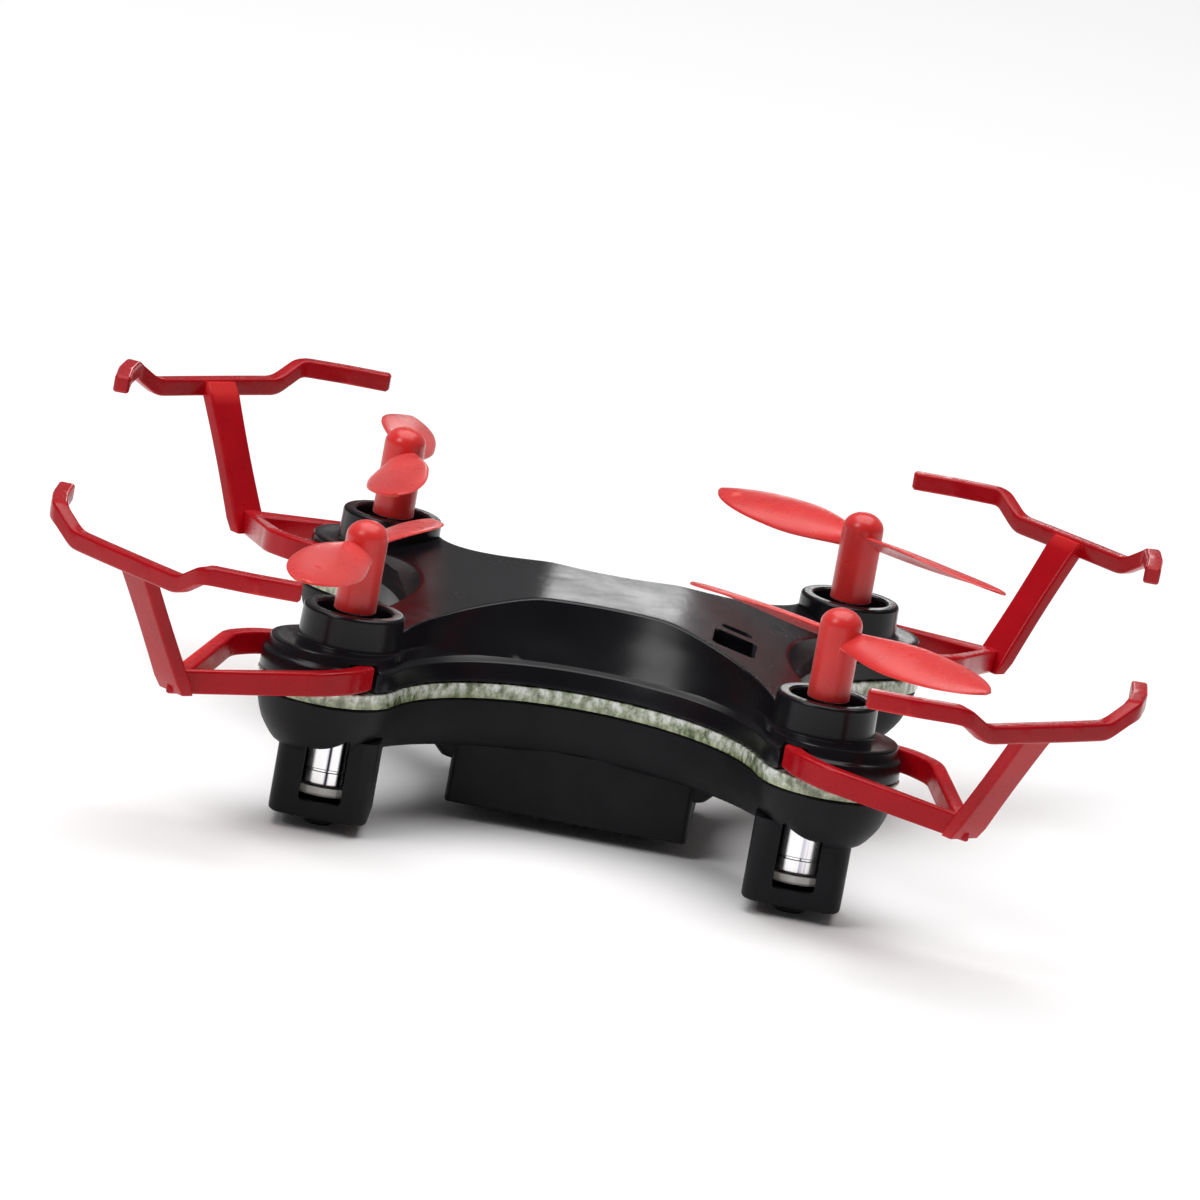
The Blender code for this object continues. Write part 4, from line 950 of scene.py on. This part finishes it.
def hub_profile():
    """A straight tube with an eased foot and a domed top."""
    profile = round_corner((HUB_RADIUS - 0.15, HUB_LOW + 0.15), 0.15, -90)
    profile += [(HUB_RADIUS, HUB_HIGH - HUB_DOME)]
    for i in range(1, 9):
        a = pi / 2 * i / 9
        profile.append((HUB_RADIUS * cos(a), HUB_HIGH - HUB_DOME + HUB_DOME * sin(a)))
    return profile + [(0.12, HUB_HIGH)]


def placed_copy(name, pattern, turn, corner):
    """A copy of a pattern's mesh, turned about Z and moved to a motor axis."""
    sx, sy = CORNERS[corner]
    mesh = pattern.data.copy()
    mesh.transform(Matrix.Rotation(turn, 4, "Z"))
    mesh.transform(Matrix.Translation((sx * HALF_SPAN * MM, sy * HALF_SPAN * MM, 0)))
    made = bpy.data.objects.new(name, mesh)
    bpy.context.scene.collection.objects.link(made)
    return made


def make_propellers():
    """A turned hub with two blades for each hand, copied to its corners."""
    for hand in (1, -1):
        pattern = to_object("propeller_pattern", turned(hub_profile(), 48), "prop")
        boolean(pattern, blade(0, hand), "UNION")
        boolean(pattern, blade(pi, hand), "UNION")
        boolean(pattern, turned([(HUB_BORE, HUB_LOW - 1), (HUB_BORE, BLADE_Z)], 24), "DIFFERENCE")
        shade(pattern.data, SHARP_RED)
        for corner in (name for name in CORNERS if PROP_HAND[name] == hand):
            turn = radians(PROP_HEADING[corner])
            prop = placed_copy(f"propeller_blades_{corner}", pattern, turn, corner)
            finish_piece(prop, f"rotor_{corner}", f"propeller_{corner}")
        bpy.data.objects.remove(pattern)


# ---- guards --------------------------------------------------------------------
STRUT_TALL, STRUT_THICK = 1.85, 1.15
TONGUE_Z = COLLAR_TOP - 4.05
TONGUE_TOP = TONGUE_Z + STRUT_TALL / 2 - 0.15
RISER_FOOT = (11.8, 11.8, COLLAR_TOP - 5.4)
FORK_TIP = (11.4, 11.4, COLLAR_TOP - 5.4)
RISER_HEAD = (15.8, 15.8, COLLAR_TOP + 3.9)
RISER_WIDE, RISER_THICK, RISER_WAIST = 3.1, 1.35, 0.3
RISER_BELOW, RISER_EXTRA = 0.85, 1.4    # its start below its foot, and its added length
BUMPER_TALL, BUMPER_THICK = 1.4, 1.25
BUMPER_HIGH, BUMPER_LOW = COLLAR_TOP + 5.4, COLLAR_TOP + 3.9
BAR_EASE = 0.2                          # how far a bar's ends are drawn in
SLOT_IN, SLOT_OUT = 0.4, 0.8            # a notch's run past the ends of its tongue


def corner_turn(corner):
    """Turn about Z that takes the rear right corner's shape to another corner."""
    sx, sy = CORNERS[corner]
    return atan2(sy, sx) - pi / 4


def guard_arm():
    """One arm of the fork, outward from the motor axis; the other swaps X and Y."""
    return [(-2.0, 4.5, TONGUE_Z), (-0.9, 7.0, TONGUE_Z), (1.0, 8.9, TONGUE_Z - 0.1), FORK_TIP]


def strut_slot(corner, side, bm):
    """The notch in a pod's skirt that a guard's tongue drops into."""
    tongue = guard_arm()[:2]
    if side:
        tongue = [(y, x, z) for x, y, z in tongue]
    start, end = Vector(tongue[0][:2]), Vector(tongue[1][:2])
    run = (end - start).normalized()
    across = Vector((-run.y, run.x)) * (STRUT_THICK / 2 + FIT)
    start, end = start - run * SLOT_IN, end + run * SLOT_OUT
    place = Matrix.Rotation(corner_turn(corner), 3, "Z")
    shift = Vector((HALF_SPAN, HALF_SPAN, 0))
    rings = []
    for z in (BAND_TOP - 0.5, TONGUE_TOP + FIT):
        plan = (start - across, end - across, end + across, start + across)
        rings.append([tuple(place @ (Vector((p.x, p.y, z)) + shift)) for p in plan])
    skin(rings, bm=bm)


def soften(points, radius, sharp=None, steps=4):
    """Round the bends of a path with short quadratic curves, but for the sharp one."""
    points = [Vector(p) for p in points]
    path = [points[0]]
    for i, (before, here, after) in enumerate(zip(points, points[1:], points[2:]), 1):
        if i == sharp:
            path.append(here)
            continue
        back = here + (before - here).normalized() * min(radius, (before - here).length * 0.45)
        ahead = here + (after - here).normalized() * min(radius, (after - here).length * 0.45)
        for step in range(steps + 1):
            t = step / steps
            path.append(back * (1 - t) ** 2 + here * 2 * t * (1 - t) + ahead * t ** 2)
    path.append(points[-1])
    return path


def bar(points, thick, tall, corner=0.24):
    """A rounded rectangular bar along a path, mitred at its bends, with softened ends."""
    rings = []
    last = len(points) - 1
    runs = []
    for here, ahead in zip(points, points[1:]):
        runs.append(Vector((ahead.x - here.x, ahead.y - here.y, 0)).normalized())
    # Each end is used twice: drawn in for the face, then full size a step along.
    for i in [0] + list(range(last + 1)) + [last]:
        run_in, run_out = runs[max(i - 1, 0)], runs[min(i, last - 1)]
        run = (run_in + run_out).normalized()
        across = Vector((-run.y, run.x, 0)) / max(run.dot(run_in), 0.35)
        here, inset = points[i].copy(), 0.0
        if len(rings) in (0, last + 2):
            inset = BAR_EASE
        elif i in (0, last):
            here += run * (BAR_EASE if i == 0 else -BAR_EASE)
        plan = rounded_rect(thick / 2 - inset, tall / 2 - inset, max(corner - inset, 0.03), 3)
        rings.append([tuple(here + across * a + Vector((0, 0, b))) for a, b in plan])
    return skin(rings)


def riser():
    """The flat post that leans outward from the fork to the bumper."""
    foot, head = Vector(RISER_FOOT), Vector(RISER_HEAD)
    out, across = Vector((1, 1, 0)).normalized(), Vector((-1, 1, 0)).normalized()
    lean = (head - foot).normalized()
    length = (head - foot).length
    rings = []
    for share in np.linspace(0, 1, 13):
        place = foot + lean * ((length + RISER_EXTRA) * share - RISER_BELOW)
        wide = RISER_WIDE - RISER_WAIST * sin(pi * share)
        ease = 0.16 if share in (0, 1) else 0.0
        plan = rounded_rect(wide / 2 - ease, RISER_THICK / 2 - ease, 0.26 - ease, 3)
        rings.append([tuple(place + across * a + out * b) for a, b in plan])
    return skin(rings)


def make_guards():
    """Fork, leaning post and stepped bumper in one moulding, copied to the corners."""
    arm = guard_arm()
    mirrored = [(y, x, z) for x, y, z in reversed(arm[:-1])]
    fork = soften(arm + mirrored, 0.9, sharp=len(arm) - 1)
    pattern = to_object("guard_pattern", bar(fork, STRUT_THICK, STRUT_TALL), "guard")
    side = [(3.0, 22.6, BUMPER_HIGH), (6.6, 22.7, BUMPER_HIGH), (10.2, 22.4, BUMPER_HIGH),
            (11.9, 20.6, BUMPER_LOW), (14.4, 18.2, BUMPER_LOW)]
    bumper = soften(side + [(y, x, z) for x, y, z in reversed(side)], 0.7)
    boolean(pattern, bar(bumper, BUMPER_THICK, BUMPER_TALL), "UNION")
    boolean(pattern, riser(), "UNION")
    shade(pattern.data, SHARP_RED)
    for corner in CORNERS:
        guard = placed_copy(f"guard_bars_{corner}", pattern, corner_turn(corner), corner)
        finish_piece(guard, "root", f"guard_{corner}")
    bpy.data.objects.remove(pattern)


# ---- carried-over CAD nodes ----------------------------------------------------
NODE_LOOKS = {
    "motor_shaft": "steel", "motor_end_cap": "nylon", "motor_lead": "lead", "motor_driver": "chip",
    "battery_lead": "lead_red", "battery_socket": "nylon", "screw": "steel", "led_": "led",
    "antenna": "lead", "circuit_board": "board", "crystal": "steel", "flight_chip": "chip",
    "radio_chip": "chip", "switch_body": "dark_steel", "switch_knob": "knob",
}


def look_for(node):
    """The look of a node that keeps its CAD shape, or None for one with a visual piece."""
    if node == "battery":
        return "pouch"
    for start, look in NODE_LOOKS.items():
        if node.startswith(start):
            return look
    return None


def dress_nodes():
    """Give each carried-over node its look in place of its CAD material."""
    for node, made in frame["nodes"].items():
        look = look_for(node)
        if look:
            made.data.materials.clear()
            made.data.materials.append(LOOKS[look])


# ---- studio --------------------------------------------------------------------
FLOOR_HALF = 3000       # millimetres
SURROUND = 0.14         # the world's strength
LIT_HEIGHT = 0.01       # metres above the floor, where every light points
# Each light's name, place, width and height in metres, and power in watts.
LIGHTS = (
    ("overhead", (0, 0.1, 0.7), 0.8, 0.8, 6.4),
    ("key", (-0.35, -0.35, 0.45), 0.25, 0.25, 1.2),
    ("low_rear", (0, 0.6, 0.15), 0.07, 0.05, 0.06),
)


def make_studio():
    """A pale floor in a pale surround, lit from overhead, from a key and from low behind."""
    m = Nodes("studio_floor")
    tone = m.ramp(m.noise(2, 2), ((0.3, (0.93, 0.93, 0.93)), (0.7, (0.96, 0.96, 0.96))))
    m.link(tone, m.shader.inputs["Base Color"])
    m.set(Roughness=0.9)
    bm = bmesh.new()
    bmesh.ops.create_grid(bm, x_segments=2, y_segments=2, size=FLOOR_HALF)
    floor = to_object("floor", bm)
    floor.data.materials.append(m.material)
    world = bpy.data.worlds.new("studio")
    bpy.context.scene.world = world
    world.use_nodes = True
    background = world.node_tree.nodes["Background"]
    background.inputs["Color"].default_value = (1, 1, 1, 1)
    background.inputs["Strength"].default_value = SURROUND
    for name, place, wide, tall, power in LIGHTS:
        lamp = bpy.data.lights.new(name, "AREA")
        lamp.shape = "RECTANGLE"
        lamp.size = wide
        lamp.size_y = tall
        lamp.energy = power
        made = bpy.data.objects.new(name, lamp)
        bpy.context.scene.collection.objects.link(made)
        made.location = place
        aim = Vector((0, 0, LIT_HEIGHT)) - Vector(place)
        made.rotation_euler = aim.to_track_quat("-Z", "Y").to_euler()
    bpy.context.scene.view_settings.view_transform = "Standard"


def make_camera():
    """A long lens from the front, slightly above, rolled so the drone banks right."""
    yaw, elevation, roll = radians(-1.54), radians(12.29), radians(10.2)
    distance, lens = 1.0226, 403.4      # metres, millimetres
    aside, lift = 0.00053, 0.00019      # how far the aim is off the collar's middle, metres
    forward = Vector((sin(yaw) * cos(elevation), cos(yaw) * cos(elevation), -sin(elevation)))
    level = Vector((cos(yaw), -sin(yaw), 0))
    down = forward.cross(level)
    right = cos(roll) * level - sin(roll) * down
    up = -(sin(roll) * level + cos(roll) * down)
    aim = Vector((0, 0, COLLAR_TOP * MM)) - right * aside + up * lift
    data = bpy.data.cameras.new("camera")
    data.lens = lens
    data.sensor_width = 36
    camera = bpy.data.objects.new("camera", data)
    bpy.context.scene.collection.objects.link(camera)
    turn = Matrix((right, up, -forward)).transposed().to_4x4()
    camera.matrix_world = Matrix.Translation(aim - forward * distance) @ turn
    bpy.context.scene.camera = camera


make_studio()
make_camera()
make_upper_shell()
make_lower_shell()
make_light_band()
make_battery_door()
for each in CORNERS:
    make_motor(each)
make_propellers()
make_guards()
dress_nodes()
